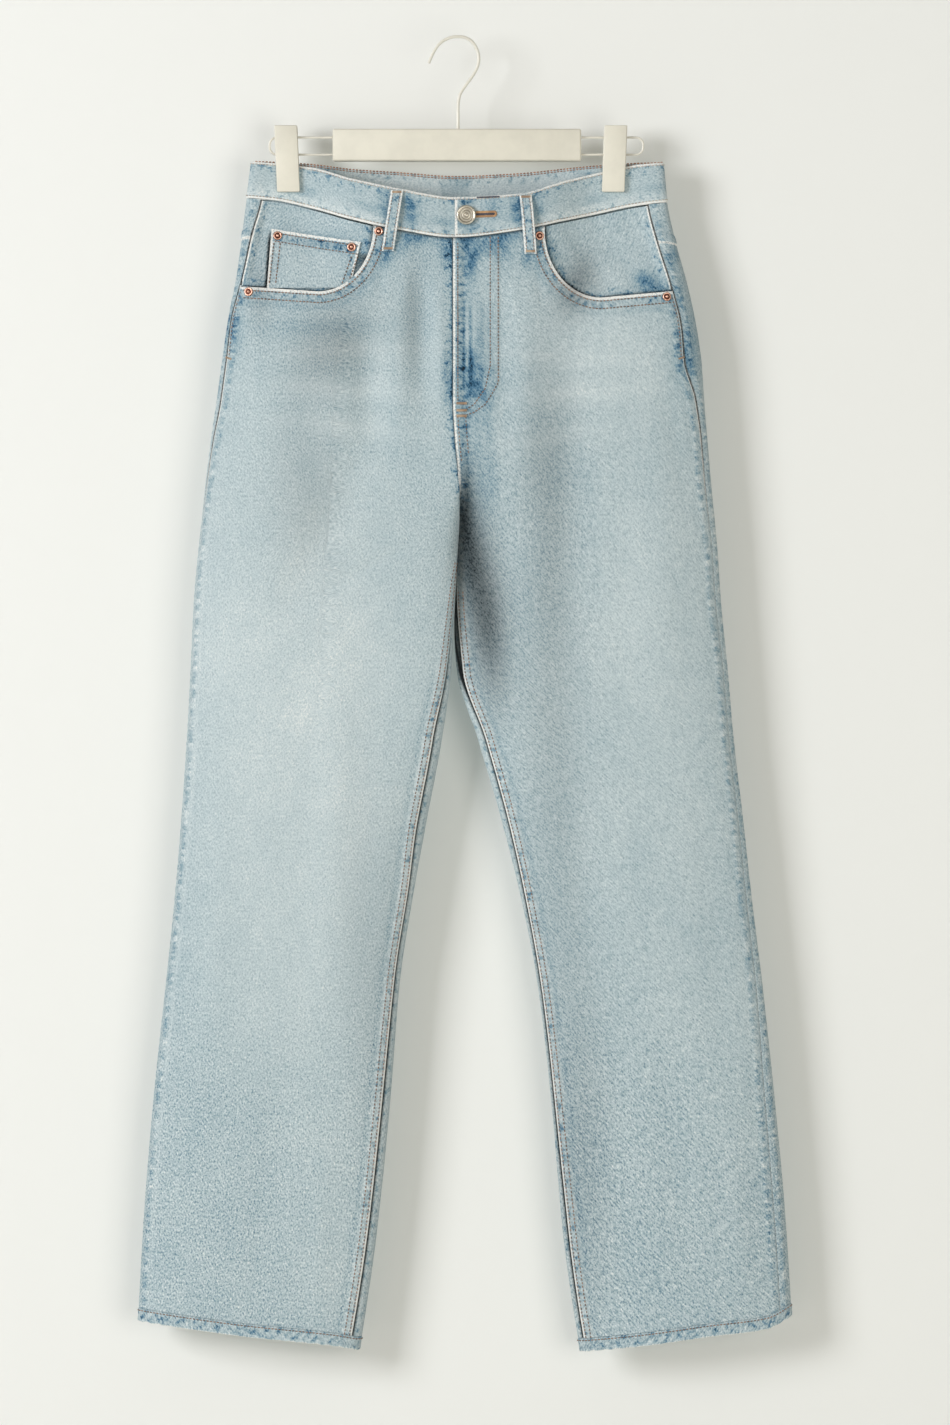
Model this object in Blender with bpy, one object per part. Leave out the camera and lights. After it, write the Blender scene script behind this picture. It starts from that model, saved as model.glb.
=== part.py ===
"""Light-wash boyfriend jeans hung by the waistband from a clip hanger.

Metres, +Z up. The origin is the underside of the hook's crown, where a rail
bears. The front of the jeans faces -Y and +X is the viewer's right. Names
ending in _r and _l are the wearer's right (-X) and left (+X).

Each leg is a row of flattened oval sections. A point of the cloth is found
from its height, its face and an angle: 0 at the outer edge, pi at the centre
seam or inner edge. Tables are in millimetres.
"""

import math

import bmesh
import bpy
import numpy as np
from mathutils import Vector
from mathutils.bvhtree import BVHTree

for old in list(bpy.data.objects):
    bpy.data.objects.remove(old)

MM = 0.001
SEAM_GAP = 0.3
LEVEL_GAP = 0.8
CLOTH = 1.5
BAND_OUT = 0.5
BAND_WALL = 2.6
HEM_OUT = 0.4
HEM_WALL = 2.2
HEM_HEIGHT = 12.0
PATCH_WALL = 1.3
FRONT, BACK = -1, 1
WEARER_RIGHT, WEARER_LEFT = -1, 1

# Key heights down from the rail, at the side seams.
BAND_TOP = -112.0
WAIST_SEAM = -148.0
CLEFT_FRONT = -384.0
CLEFT_BACK = -408.0
CROTCH = -462.0
HEM_LINE = -1165.0
HEM_SEAM = HEM_LINE + HEM_HEIGHT
SAG_END = -330.0
HEM_SLANT_START = -900.0

# Clips and the pinch that they press into the waist.
CLIP_X = {WEARER_RIGHT: -154.0, WEARER_LEFT: 141.0}
CLIP_HALF_WIDTH = 10.3
CLIP_TOP, CLIP_BOTTOM = -79.0, -139.0
PINCHED_HALF = 3.2
PINCH_SPREAD_X = 38.0
PINCH_SPREAD_Z = 70.0

OUTER_ROUND = 2.2

# How boxy each leg's inner half is: high where a leg is pressed against the other.
ROUND_COLUMNS = ("z", "inner_r", "inner_l")
ROUND = ((-462, 4.6, 1.8), (-560, 4.4, 1.65), (-620, 3.8, 1.8), (-700, 2.8, 1.8))

# Outline by height: x of the outer and inner edges, and how far the side
# seam and the inseam sit in from those edges on the front.
OUTLINE_COLUMNS = (
    "z", "outer_r", "inner_r", "inner_l", "outer_l", "side_r", "side_l", "inseam_r", "inseam_l", "depth"
)
OUTLINE = (
    (-112, -186, -3, -3, 185, 15, 19, 0, 0, 21),
    (-148, -190.5, -3, -3, 188.5, 14, 18, 0, 0, 22),
    (-183, -195, -3, -3, 196, 9, 17, 0, 0, 23),
    (-219, -200, -3, -3, 206, 6, 16, 0, 0, 24),
    (-255, -207, -3, -3, 214, 3, 14, 0, 0, 25),
    (-291, -212.5, -3, -3, 219.5, 4, 16, 0, 0, 25.5),
    (-327, -217.5, -3, -3, 222, 4, 8, 0, 0, 26),
    (-363, -222.5, -1, -1, 225, 2, 6, 0, 0, 26.5),
    (-399, -227, 2, 2, 228, 1, 6, 0, 0, 27),
    (-435, -231, 1, 1, 231.5, 0.5, 5.5, 0, 0, 28),
    (-462, -234, -1, -1, 234, 0.5, 5, 0, 0, 28),
    (-507, -238, -3, -2, 237, 0.5, 5, 1, 1, 28),
    (-570, -241, -6, 0, 243, 0.5, 4, 4, 4, 27),
    (-633, -244.5, -14.5, 18, 248.5, 0.5, 4, 8, 7, 26),
    (-705, -249.5, -28, 39, 257, 0.5, 4.5, 8, 6, 25),
    (-777, -255.5, -41, 57, 265, 0.5, 5, 5, 4, 24),
    (-849, -263, -52, 71, 274, 0.5, 6, 5, 3, 23),
    (-957, -274.5, -61, 84, 285.5, 0.5, 9, 7, 3, 22),
    (-1065, -283, -73, 94.5, 295, 0.5, 10, 8, 5, 21),
    (-1184, -289.5, -91.5, 113, 302, 0.5, 10, 9, 5, 20),
)

# Heights of the band's top edge and of the waist seam across the body.
WAIST_COLUMNS = ("x", "top_front", "seam_front", "top_back", "seam_back")
WAIST = (
    (-191, -111, -144, -111, -144),
    (-164, -113, -146.5, -112, -145.5),
    (-131, -117, -154, -114, -148),
    (-96, -127.5, -164.5, -117.5, -151.5),
    (-54, -136.5, -174, -120, -155),
    (-3, -144.5, -181, -123.5, -158.5),
    (55, -141.5, -174.5, -121, -155),
    (96, -129.5, -165.5, -117.5, -151.5),
    (129, -121, -158, -115, -149),
    (160, -114.5, -151.5, -113, -147),
    (189, -112, -148, -112, -148),
)

# Height of the finished leg ends across the body.
HEM_COLUMNS = ("x", "z")
HEMS = {
    WEARER_RIGHT: ((-290, -1156), (-194, -1169), (-112, -1178), (-91, -1182)),
    WEARER_LEFT: ((112, -1184), (166, -1178), (226, -1169.5), (278, -1163), (302, -1151)),
}

# Largest soft folds: x and z of both ends, half width, and depth inwards
# (a ridge has a negative depth).
FOLD_COLUMNS = ("face", "x_top", "z_top", "x_end", "z_end", "half_width", "depth")
FOLDS = (
    (FRONT, -34, -178, -30, -345, 11, 4.0),
    (FRONT, -18, -190, -14, -340, 9, -2.5),
    (FRONT, -58, -205, -50, -400, 12, -2.0),
    (FRONT, -84, -238, -78, -375, 15, 4.5),
    (FRONT, -114, -245, -110, -400, 20, -2.5),
    (FRONT, -72, -345, -162, -535, 22, 3.5),
    (FRONT, 40, -195, 44, -370, 11, 2.0),
    (FRONT, 62, -205, 58, -430, 14, -2.5),
    (FRONT, 97, -262, 98, -660, 19, 4.0),
    (FRONT, 99, -590, 120, -1050, 19, 3.0),
    (FRONT, 184, -330, 180, -640, 24, -2.0),
    (FRONT, -105, -500, -118, -900, 18, -2.0),
    (FRONT, 52, -430, 24, -520, 13, 2.0),
    (FRONT, 13, -390, 15, -610, 9.5, 7.5),
    (BACK, -60, -200, -35, -400, 14, 4.0),
    (BACK, 62, -195, 40, -410, 14, 4.0),
    (BACK, -120, -330, -50, -470, 16, 3.5),
    (BACK, 118, -340, 52, -480, 16, 3.5),
)

COPPER = ("copper", (0.72, 0.33, 0.20), 0.35, 1.0)
DENIM = ("denim", (0.47, 0.55, 0.57), 0.92, 0.0)
DENIM_INSIDE = ("denim_inside", (0.38, 0.46, 0.49), 0.92, 0.0)
AGED_METAL = ("button_metal", (0.55, 0.50, 0.40), 0.38, 1.0)
ZIP_TAPE = ("zip_tape", (0.52, 0.48, 0.40), 0.6, 0.2)
HANGER_PAINT = ("hanger_paint", (0.86, 0.83, 0.74), 0.45, 0.0)
WIRE_PAINT = ("wire_paint", (0.88, 0.86, 0.80), 0.35, 0.0)


def columns(table, names):
    """The table's columns as arrays, by name."""
    return {name: np.array([row[i] for row in table], float) for i, name in enumerate(names)}


def curve(xs, ys, x):
    """A smooth curve through the points, flat beyond the ends and free of overshoot."""
    order = np.argsort(xs)
    xs, ys = xs[order], ys[order]
    step = np.diff(xs)
    slope = np.diff(ys) / step
    tangent = np.zeros_like(ys)
    tangent[1:-1] = np.where(
        slope[:-1] * slope[1:] > 0,
        2 * slope[:-1] * slope[1:] / (slope[:-1] + slope[1:] + 1e-12),
        0.0,
    )
    tangent[0], tangent[-1] = slope[0], slope[-1]
    x = np.clip(x, xs[0], xs[-1])
    i = np.clip(np.searchsorted(xs, x) - 1, 0, len(xs) - 2)
    t = (x - xs[i]) / step[i]
    rise = step[i] * (tangent[i] * t * (1 - t) ** 2 - tangent[i + 1] * t**2 * (1 - t))
    return ys[i] * (1 + 2 * t) * (1 - t) ** 2 + ys[i + 1] * t**2 * (3 - 2 * t) + rise


def ease(value, start, end):
    """0 at start, 1 at end, smooth between."""
    t = np.clip((value - start) / (end - start), 0, 1)
    return t * t * (3 - 2 * t)


OUT = columns(OUTLINE, OUTLINE_COLUMNS)
RND = columns(ROUND, ROUND_COLUMNS)
WST = columns(WAIST, WAIST_COLUMNS)
HEM = {side: columns(rows, HEM_COLUMNS) for side, rows in HEMS.items()}


def outline(name, side, z):
    """One column of the outline table at height z, for one side of the body."""
    if side is not None:
        name = f"{name}_{'r' if side == WEARER_RIGHT else 'l'}"
    return curve(OUT["z"], OUT[name], np.asarray(z, float))


def inner_round(side, z):
    """How boxy the section's inner half is at height z."""
    return curve(RND["z"], RND["inner_r" if side == WEARER_RIGHT else "inner_l"], np.asarray(z, float))


def opened(face, z):
    """How far the legs have parted at height z: 0 in the seat, 1 from the crotch down."""
    start = CLEFT_FRONT if face == FRONT else CLEFT_BACK
    return ease(z, start, CROTCH)


def seam_angle(side, z):
    """Angle of the side seam, which sits a little way round on the front."""
    half = np.abs(outline("outer", side, z) - outline("inner", side, z)) / 2
    inset = outline("side", side, z)
    return np.arccos(np.clip(1 - inset / half, -1, 1) ** (OUTER_ROUND / 2))


def inseam_angle(side, z):
    """Angle from the inner edge round to the inseam on the front."""
    half = np.abs(outline("outer", side, z) - outline("inner", side, z)) / 2
    inset = outline("inseam", side, z)
    return np.arccos(np.clip(1 - inset / half, -1, 1) ** (inner_round(side, z) / 2))


def pinch(side, x, z):
    """1 between the clip's jaws, fading to 0 away from them."""
    aside = np.maximum(np.abs(x - CLIP_X[side]) - CLIP_HALF_WIDTH - 2, 0)
    below = np.maximum(CLIP_BOTTOM - 4 - z, 0)
    return np.exp(-((aside / PINCH_SPREAD_X) ** 2) - (below / PINCH_SPREAD_Z) ** 2)


def folds(face, x, z):
    """Depth of the soft folds at a place, positive inwards."""
    total = np.zeros(np.broadcast(x, z).shape)
    for row in FOLDS:
        fold = dict(zip(FOLD_COLUMNS, row))
        if fold["face"] != face:
            continue
        along = (z - fold["z_top"]) / (fold["z_end"] - fold["z_top"])
        centre = fold["x_top"] + (fold["x_end"] - fold["x_top"]) * along
        fade = np.sin(np.pi * np.clip(along, 0, 1)) ** 0.8
        total += fold["depth"] * fade * np.exp(-(((x - centre) / fold["half_width"]) ** 2))
    return total


def lift(face, x, z):
    """How far the level of the cloth is moved by the sagging waist and the slanted hem."""
    name = "front" if face == FRONT else "back"
    seam = curve(WST["x"], WST[f"seam_{name}"], x) - WAIST_SEAM
    top = curve(WST["x"], WST[f"top_{name}"], x) - BAND_TOP
    waist = np.where(z > WAIST_SEAM, seam + (top - seam) * (z - WAIST_SEAM) / (BAND_TOP - WAIST_SEAM), seam)
    waist = waist * (1 - ease(z, WAIST_SEAM, SAG_END))
    side = np.where(x < 0, WEARER_RIGHT, WEARER_LEFT)
    slant = np.where(
        side == WEARER_RIGHT,
        curve(HEM[WEARER_RIGHT]["x"], HEM[WEARER_RIGHT]["z"], x),
        curve(HEM[WEARER_LEFT]["x"], HEM[WEARER_LEFT]["z"], x),
    )
    return waist + (slant - HEM_LINE) * ease(z, HEM_SLANT_START, HEM_LINE)


def on_cloth(side, face, angle, z):
    """Points on the outer surface of the cloth, in millimetres."""
    angle, z = np.broadcast_arrays(np.asarray(angle, float), np.asarray(z, float))
    round_outside = angle < 0
    round_inside = angle > math.pi
    turned = np.where(round_outside | round_inside, -face, face)
    angle = np.where(round_outside, -angle, np.where(round_inside, 2 * math.pi - angle, angle))
    outer, inner = outline("outer", side, z), outline("inner", side, z)
    inner = inner + side * SEAM_GAP / 2
    middle, half = (outer + inner) / 2, np.abs(outer - inner) / 2
    cosine, sine = np.cos(angle), np.abs(np.sin(angle))
    toward_outer = cosine >= 0
    power = np.where(toward_outer, OUTER_ROUND, inner_round(side, z))
    x = middle + side * half * np.sign(cosine) * np.abs(cosine) ** (2 / power)
    arch = sine ** (2 / power)
    parted = np.where(turned == FRONT, opened(FRONT, z), opened(BACK, z))
    arch = np.where(toward_outer, arch, 1 - parted + parted * arch)
    squeezed = pinch(side, x, z)
    cap = np.where(toward_outer, sine ** (2 / 10), 1.0)
    depth = outline("depth", None, z)
    fold = np.where(turned == FRONT, folds(FRONT, x, z), folds(BACK, x, z))
    y = depth * arch - fold * np.minimum(arch * 1.2, 1) ** 2
    y = y * (1 - squeezed) + PINCHED_HALF * cap * squeezed
    level = np.where(turned == FRONT, lift(FRONT, x, z), lift(BACK, x, z))
    return np.stack([x, turned * y, z + level], axis=-1)


def cloth(side, face, angle, z, out=0.0):
    """Points moved off the outer surface by out millimetres, inwards when negative."""
    angle, z = np.broadcast_arrays(np.asarray(angle, float), np.asarray(z, float))
    turn, rise = 0.05, 1.5
    joined = opened(face, z) < 1
    before = angle - turn
    after = np.where(joined, np.minimum(angle + turn, math.pi), angle + turn)
    across = on_cloth(side, face, after, z) - on_cloth(side, face, before, z)
    along = on_cloth(side, face, angle, z + rise) - on_cloth(side, face, angle, z - rise)
    normal = np.cross(across, along) * side * face
    normal /= np.linalg.norm(normal, axis=-1, keepdims=True)
    return on_cloth(side, face, angle, z) + normal * np.asarray(out, float)[..., None]


def angle_at(side, x, z):
    """Angle of the point of a section that lies at x."""
    outer, inner = outline("outer", side, z), outline("inner", side, z)
    middle, half = (outer + inner) / 2, np.abs(outer - inner) / 2
    t = np.clip(side * (x - middle) / half, -1, 1)
    power = np.where(t >= 0, OUTER_ROUND, inner_round(side, z))
    return np.arccos(np.sign(t) * np.abs(t) ** (power / 2))


def level_of(face, x, z):
    """The section height whose cloth lies at the true height z."""
    level = np.asarray(z, float)
    for _ in range(12):
        level = z - lift(face, x, level)
    return level


class Carrier:
    """The faceted outer skin that other pieces are seated on."""

    def __init__(self):
        self.points, self.corners = [], []

    def add(self, grid):
        rows, cols = grid.shape[:2]
        first = len(self.points)
        self.points += [tuple(p) for p in grid.reshape(-1, 3)]
        self.corners += [[first + r * cols + c for r, c in tri] for tri in triangles(rows, cols)]

    def tree(self):
        return BVHTree.FromPolygons(self.points, self.corners)


CARRIERS = {"front": Carrier(), "back": Carrier(), "band": Carrier()}


def normals_at(face, x, z):
    """Unit outward normals of the smooth cloth over a true x and z."""
    level = level_of(face, x, z)
    result = np.empty(x.shape + (3,))
    for side in (WEARER_RIGHT, WEARER_LEFT):
        here = (x < -3) if side == WEARER_RIGHT else (x >= -3)
        if here.any():
            where = (side, face, angle_at(side, x[here], level[here]), level[here])
            result[here] = cloth(*where, np.ones(here.sum())) - cloth(*where, np.zeros(here.sum()))
    return result


def skin_at(carriers, face, x, z):
    """Points of the carriers' facets over a true x and z, read beside a seam's gap when in one."""
    trees = [CARRIERS[name].tree() for name in carriers]
    found = np.empty(x.shape + (3,))
    for i in np.ndindex(x.shape):
        for aside, drop in ((0.0, 0.0), (0.0, 1.0), (0.0, 2.0), (1.0, 1.0)):
            start = Vector((x[i] + aside, face * 100.0, z[i] - drop))
            hits = [tree.ray_cast(start, Vector((0, -face, 0)))[0] for tree in trees]
            hits = [hit for hit in hits if hit is not None and hit.y * face > 0]
            if hits:
                break
        found[i] = x[i], max(hits, key=lambda hit: hit.y * face).y, z[i]
    return found


def seat(carriers, face, x, z, *outs):
    """Grids over the same places, each moved out by its own distance in millimetres.

    Where the carrier bulges or dips between the grid's points, all of them
    are moved away from it by as much.
    """
    x, z = np.broadcast_arrays(np.asarray(x, float), np.asarray(z, float))
    base, normal = skin_at(carriers, face, x, z), normals_at(face, x, z)
    middle = (base[:-1, :-1] + base[1:, 1:]) / 2
    between = skin_at(carriers, face, middle[..., 0], middle[..., 2])
    bulge = (between[..., 1] - middle[..., 1]) * face
    outward = np.mean([np.mean(out) for out in outs]) > 0
    spare = max(bulge.max(), 0) if outward else -max(-bulge.min(), 0)
    return [base + normal * (np.asarray(out, float) + spare)[..., None] for out in outs]


def add_object(name, mesh, look):
    """An object of the mesh, with its own material."""
    label, colour, roughness, metallic = look
    material = bpy.data.materials.new(f"{name}_{label}")
    material.use_nodes = True
    shader = material.node_tree.nodes["Principled BSDF"]
    shader.inputs["Base Color"].default_value = (*colour, 1)
    shader.inputs["Roughness"].default_value = roughness
    shader.inputs["Metallic"].default_value = metallic
    mesh.materials.append(material)
    thing = bpy.data.objects.new(name, mesh)
    bpy.context.scene.collection.objects.link(thing)
    return thing


def finish_mesh(name, form, look, smooth=True):
    """An object of a closed bmesh, its faces turned outwards."""
    bmesh.ops.recalc_face_normals(form, faces=form.faces)
    mesh = bpy.data.meshes.new(name)
    form.to_mesh(mesh)
    form.free()
    if smooth:
        mesh.shade_smooth()
        mesh.set_sharp_from_angle(angle=math.radians(40))
    return add_object(name, mesh, look)


def triangles(rows, cols, ring=False):
    """The two triangles of each cell of a grid, as (row, column) corners."""
    found = []
    for r in range(rows - 1):
        for c in range(cols if ring else cols - 1):
            n = (c + 1) % cols
            found.append(((r, c), (r, n), (r + 1, n)))
            found.append(((r, c), (r + 1, n), (r + 1, c)))
    return found


def wall(name, outer, inner, look, ring=False):
    """A cloth wall between two grids of points (rows by columns), in millimetres."""
    rows, cols = outer.shape[:2]
    form = bmesh.new()
    skins = []
    for grid in (outer, inner):
        skins.append([[form.verts.new(grid[r, c] * MM) for c in range(cols)] for r in range(rows)])
    last = cols if ring else cols - 1
    for skin in skins:
        for corners in triangles(rows, cols, ring):
            form.faces.new([skin[r][c] for r, c in corners])
    out_skin, in_skin = skins
    for r in (0, rows - 1):
        for c in range(last):
            n = (c + 1) % cols
            form.faces.new((out_skin[r][c], out_skin[r][n], in_skin[r][n], in_skin[r][c]))
    if not ring:
        for c in (0, cols - 1):
            for r in range(rows - 1):
                form.faces.new((out_skin[r][c], out_skin[r + 1][c], in_skin[r + 1][c], in_skin[r][c]))
    return finish_mesh(name, form, look)


def spread(*stretches):
    """Heights in rows: (start, end, steps) stretches joined end to end."""
    parts = [np.linspace(start, end, steps, endpoint=False) for start, end, steps in stretches]
    return np.append(np.concatenate(parts), stretches[-1][1])


def side_name(side):
    return "r" if side == WEARER_RIGHT else "l"


# Legs: front and back panels with rows from the waist down to the hem.

PANEL_COLUMNS = 15
YOKE_SIDE, YOKE_CENTRE = -183.0, -222.0
LEGS_APART = -570.0
SEAT_ROWS = np.linspace(YOKE_SIDE - SEAM_GAP, CLEFT_BACK, 8, endpoint=False)
LEG_ROWS = spread((CLEFT_BACK, CROTCH, 4), (CROTCH, LEGS_APART, 4), (LEGS_APART, HEM_SEAM + LEVEL_GAP, 9))


def yoke_seam(share):
    """Height of the yoke seam, from the centre back (0) to the side seam (1)."""
    return YOKE_CENTRE + (YOKE_SIDE - YOKE_CENTRE) * share


def front_angles(side, z, share):
    """Angles across a front panel: share 0 at the side seam, 1 at the centre."""
    half = np.abs(outline("outer", side, z) - outline("inner", side, z)) / 2
    gap = SEAM_GAP / 2 / np.maximum(half, 1)
    start = seam_angle(side, z) + 0.02 + gap
    end = math.pi - inseam_angle(side, z)
    end = end - np.where(opened(FRONT, z) > 0.995, 0.012, 0)
    return start + (end - start) * share


def back_angles(side, z, share):
    """Angles across a back panel: share 0 at the centre, 1 at the side seam."""
    start = math.pi + inseam_angle(side, z)
    end = -seam_angle(side, z)
    return start + (end - start) * share


def front_panel(side):
    share = np.linspace(0, 1, PANEL_COLUMNS)[None, :]
    top = np.linspace(WAIST_SEAM - LEVEL_GAP, SEAT_ROWS[0], 2, endpoint=False)
    heights = np.concatenate([top, SEAT_ROWS, LEG_ROWS])[:, None]
    angles = front_angles(side, heights, share)
    heights = np.broadcast_to(heights, angles.shape)
    outer = cloth(side, FRONT, angles, heights)
    inner = cloth(side, FRONT, angles, heights, np.full(angles.shape, -CLOTH))
    CARRIERS["front"].add(outer)
    return wall(f"front_panel_{side_name(side)}", outer, inner, DENIM)


def back_panel(side):
    share = np.linspace(0, 1, PANEL_COLUMNS)[None, :]
    top = yoke_seam(share) - SEAM_GAP
    down = np.linspace(0, 1, len(SEAT_ROWS), endpoint=False)[:, None]
    below = np.broadcast_to(LEG_ROWS[:, None], (len(LEG_ROWS), PANEL_COLUMNS))
    heights = np.vstack([top + (CLEFT_BACK - top) * down, below])
    angles = back_angles(side, heights, share)
    outer = cloth(side, BACK, angles, heights)
    inner = cloth(side, BACK, angles, heights, np.full(angles.shape, -CLOTH))
    CARRIERS["back"].add(outer)
    return wall(f"back_panel_{side_name(side)}", outer, inner, DENIM)


def yoke(side):
    share = np.linspace(0, 1, PANEL_COLUMNS)[None, :]
    down = np.linspace(0, 1, 4)[:, None]
    top = WAIST_SEAM - LEVEL_GAP
    heights = top + (yoke_seam(share) - top) * down
    angles = back_angles(side, heights, share)
    outer = cloth(side, BACK, angles, heights)
    inner = cloth(side, BACK, angles, heights, np.full(angles.shape, -CLOTH))
    CARRIERS["back"].add(outer)
    return wall(f"yoke_{side_name(side)}", outer, inner, DENIM)


def hem(side):
    angles = np.linspace(0, 2 * math.pi, 32, endpoint=False)[None, :]
    heights = np.array([HEM_SEAM, (HEM_SEAM + HEM_LINE) / 2, HEM_LINE])[:, None]
    angles, heights = np.broadcast_arrays(angles, heights)
    front = angles <= math.pi
    outer = np.empty(angles.shape + (3,))
    inner = np.empty(angles.shape + (3,))
    for face, mask, turned in ((FRONT, front, angles), (BACK, ~front, 2 * math.pi - angles)):
        where = (side, face, turned[mask], heights[mask])
        outer[mask] = cloth(*where, np.full(mask.sum(), HEM_OUT))
        inner[mask] = cloth(*where, np.full(mask.sum(), HEM_OUT - HEM_WALL))
    return wall(f"hem_{side_name(side)}", outer, inner, DENIM, ring=True)


# Waistband: one strip that goes round from its upper end at the centre front
# to its lower end, which carries on under the upper one.

BAND_COLUMNS = 16
LAP = 32.0
LAP_RISE = 1.2
LAP_DROP = 1.8
LAP_EASE = 16.0


def waistband():
    half_round = np.linspace(0, math.pi, BAND_COLUMNS)
    stations = []
    for angle in half_round[::-1]:
        stations.append((WEARER_LEFT, FRONT, angle))
    for angle in half_round[1:-1]:
        stations.append((WEARER_LEFT, BACK, angle))
    for angle in half_round[::-1]:
        stations.append((WEARER_RIGHT, BACK, angle))
    for angle in half_round[1:]:
        stations.append((WEARER_RIGHT, FRONT, angle))
    heights = np.linspace(WAIST_SEAM, BAND_TOP, 4)
    outer = np.empty((len(heights), len(stations), 3))
    inner = np.empty_like(outer)
    for c, (side, face, angle) in enumerate(stations):
        spots = on_cloth(side, face, np.full(len(heights), angle), heights)
        near = ease(np.abs(spots[:, 0] + 3), LAP_EASE, 0) if face == FRONT else np.zeros(len(heights))
        shift = near * (LAP_RISE if side == WEARER_LEFT else -LAP_DROP)
        at = (side, face, np.full(len(heights), angle), heights)
        outer[:, c] = cloth(*at, BAND_OUT + shift)
        inner[:, c] = cloth(*at, BAND_OUT - BAND_WALL + shift)
    under = np.linspace(0, LAP, 5)[1:] - 3
    low = []
    for x in under:
        angle = angle_at(WEARER_LEFT, np.full(len(heights), x), heights)
        at = (WEARER_LEFT, FRONT, angle, heights)
        drop = np.full(len(heights), -LAP_DROP)
        low.append((cloth(*at, BAND_OUT + drop), cloth(*at, BAND_OUT - BAND_WALL + drop)))
    CARRIERS["band"].add(outer)
    outer = np.concatenate([outer, np.stack([pair[0] for pair in low], axis=1)], axis=1)
    inner = np.concatenate([inner, np.stack([pair[1] for pair in low], axis=1)], axis=1)
    return wall("waistband", outer, inner, DENIM)


# Front pockets: a quarter-ellipse mouth from the waist seam, then a line to
# the side seam.

SCOOP_COLUMNS = ("centre_x", "top_z", "reach_x", "drop", "side_x", "side_z")
SCOOPS = {
    WEARER_RIGHT: (-126, -170, 50, 59.5, -193.5, -224.5),
    WEARER_LEFT: (129, -175, -51, 60, 192, -229),
}


def scoop(side):
    return dict(zip(SCOOP_COLUMNS, SCOOPS[side]))


def scoop_edge(side, steps=12):
    """Points of the mouth's edge, from the waist seam round to the side seam."""
    s = scoop(side)
    turn = np.linspace(0, math.pi / 2, steps)
    xs = s["centre_x"] + s["reach_x"] * np.cos(turn)
    zs = s["top_z"] - s["drop"] * np.sin(turn)
    above = (s["centre_x"] + s["reach_x"], s["top_z"] + 60)
    return [above, *zip(xs, zs), (s["side_x"], s["side_z"])]


def scoop_cutter(side):
    """The prism that opens the pocket mouth in a front panel."""
    edge = scoop_edge(side)
    far = side * 240.0
    edge += [(far, edge[-1][1]), (far, edge[0][1])]
    form = bmesh.new()
    near = [form.verts.new((x * MM, -0.06, z * MM)) for x, z in edge]
    deep = [form.verts.new((x * MM, 0.0, z * MM)) for x, z in edge]
    form.faces.new(near)
    form.faces.new(deep[::-1])
    for i in range(len(edge)):
        n = (i + 1) % len(edge)
        form.faces.new((near[i], deep[i], deep[n], near[n]))
    cutter = finish_mesh(f"pocket_mouth_cutter_{side_name(side)}", form, DENIM, smooth=False)
    cutter.hide_render = True
    cutter.display_type = "WIRE"
    return cutter


def open_pocket(panel, side):
    cut = panel.modifiers.new("pocket_mouth", "BOOLEAN")
    cut.operation = "DIFFERENCE"
    cut.solver = "EXACT"
    cut.object = scoop_cutter(side)


FACING_DEPTH = CLOTH + SEAM_GAP
FACING_WALL = 1.2
FACING_UNDERLAP = 12.0
FACING_INSET = 2.5
FACING_TOP = 1.5


def pocket_facing(side):
    s = scoop(side)
    inner_x = s["centre_x"] + s["reach_x"] - side * FACING_UNDERLAP
    low = s["top_z"] - s["drop"] - FACING_UNDERLAP
    across = np.linspace(0, 1, 11)[None, :]
    down = np.linspace(0, 1, 7)[:, None]
    seam = curve(WST["x"], WST["seam_front"], across * 0 + inner_x)
    level = WAIST_SEAM + (low - seam) * down
    edge = outline("outer", side, level) - side * (outline("side", side, level) + FACING_INSET)
    xs = edge + (inner_x - edge) * across
    top = curve(WST["x"], WST["seam_front"], xs) - FACING_TOP
    zs = top + (low - top) * down
    face, back = seat(("front",), FRONT, xs, zs, -FACING_DEPTH, -FACING_DEPTH - FACING_WALL)
    return wall(f"pocket_facing_{side_name(side)}", face, back, DENIM_INSIDE)


COIN_TOP_LEFT, COIN_TOP_RIGHT = (-168.0, -172.0), (-87.5, -185.0)
COIN_LOW_LEFT, COIN_LOW_RIGHT = (-172.0, -224.0), (-97.0, -217.0)


def coin_pocket():
    s = scoop(WEARER_RIGHT)
    across = np.linspace(0, 1, 10)[None, :]
    down = np.linspace(0, 1, 6)[:, None]
    top_x = COIN_TOP_LEFT[0] + (COIN_TOP_RIGHT[0] - COIN_TOP_LEFT[0]) * across
    top_z = COIN_TOP_LEFT[1] + (COIN_TOP_RIGHT[1] - COIN_TOP_LEFT[1]) * across
    low_x = COIN_LOW_LEFT[0] + (COIN_LOW_RIGHT[0] - COIN_LOW_LEFT[0]) * across
    on_arc = np.clip((low_x - s["centre_x"]) / s["reach_x"], 0, 1)
    slope = (s["side_z"] - s["top_z"] + s["drop"]) / (s["side_x"] - s["centre_x"])
    on_line = s["top_z"] - s["drop"] + slope * np.minimum(low_x - s["centre_x"], 0)
    low_z = np.where(low_x > s["centre_x"], s["top_z"] - s["drop"] * np.sqrt(1 - on_arc**2), on_line) + 1.0
    xs = top_x + (low_x - top_x) * down
    zs = top_z + (low_z - top_z) * down
    face, back = seat(("front",), FRONT, xs, zs, -SEAM_GAP, -FACING_DEPTH + SEAM_GAP)
    return wall("coin_pocket", face, back, DENIM)


# Patch pockets on the seat.

POCKET_COLUMNS = ("centre_x", "top_z", "top_width", "low_width", "side_height", "point")
BACK_POCKET = {WEARER_RIGHT: (-101, -240, 150, 130, 138, 24), WEARER_LEFT: (101, -240, 150, 130, 138, 24)}


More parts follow.
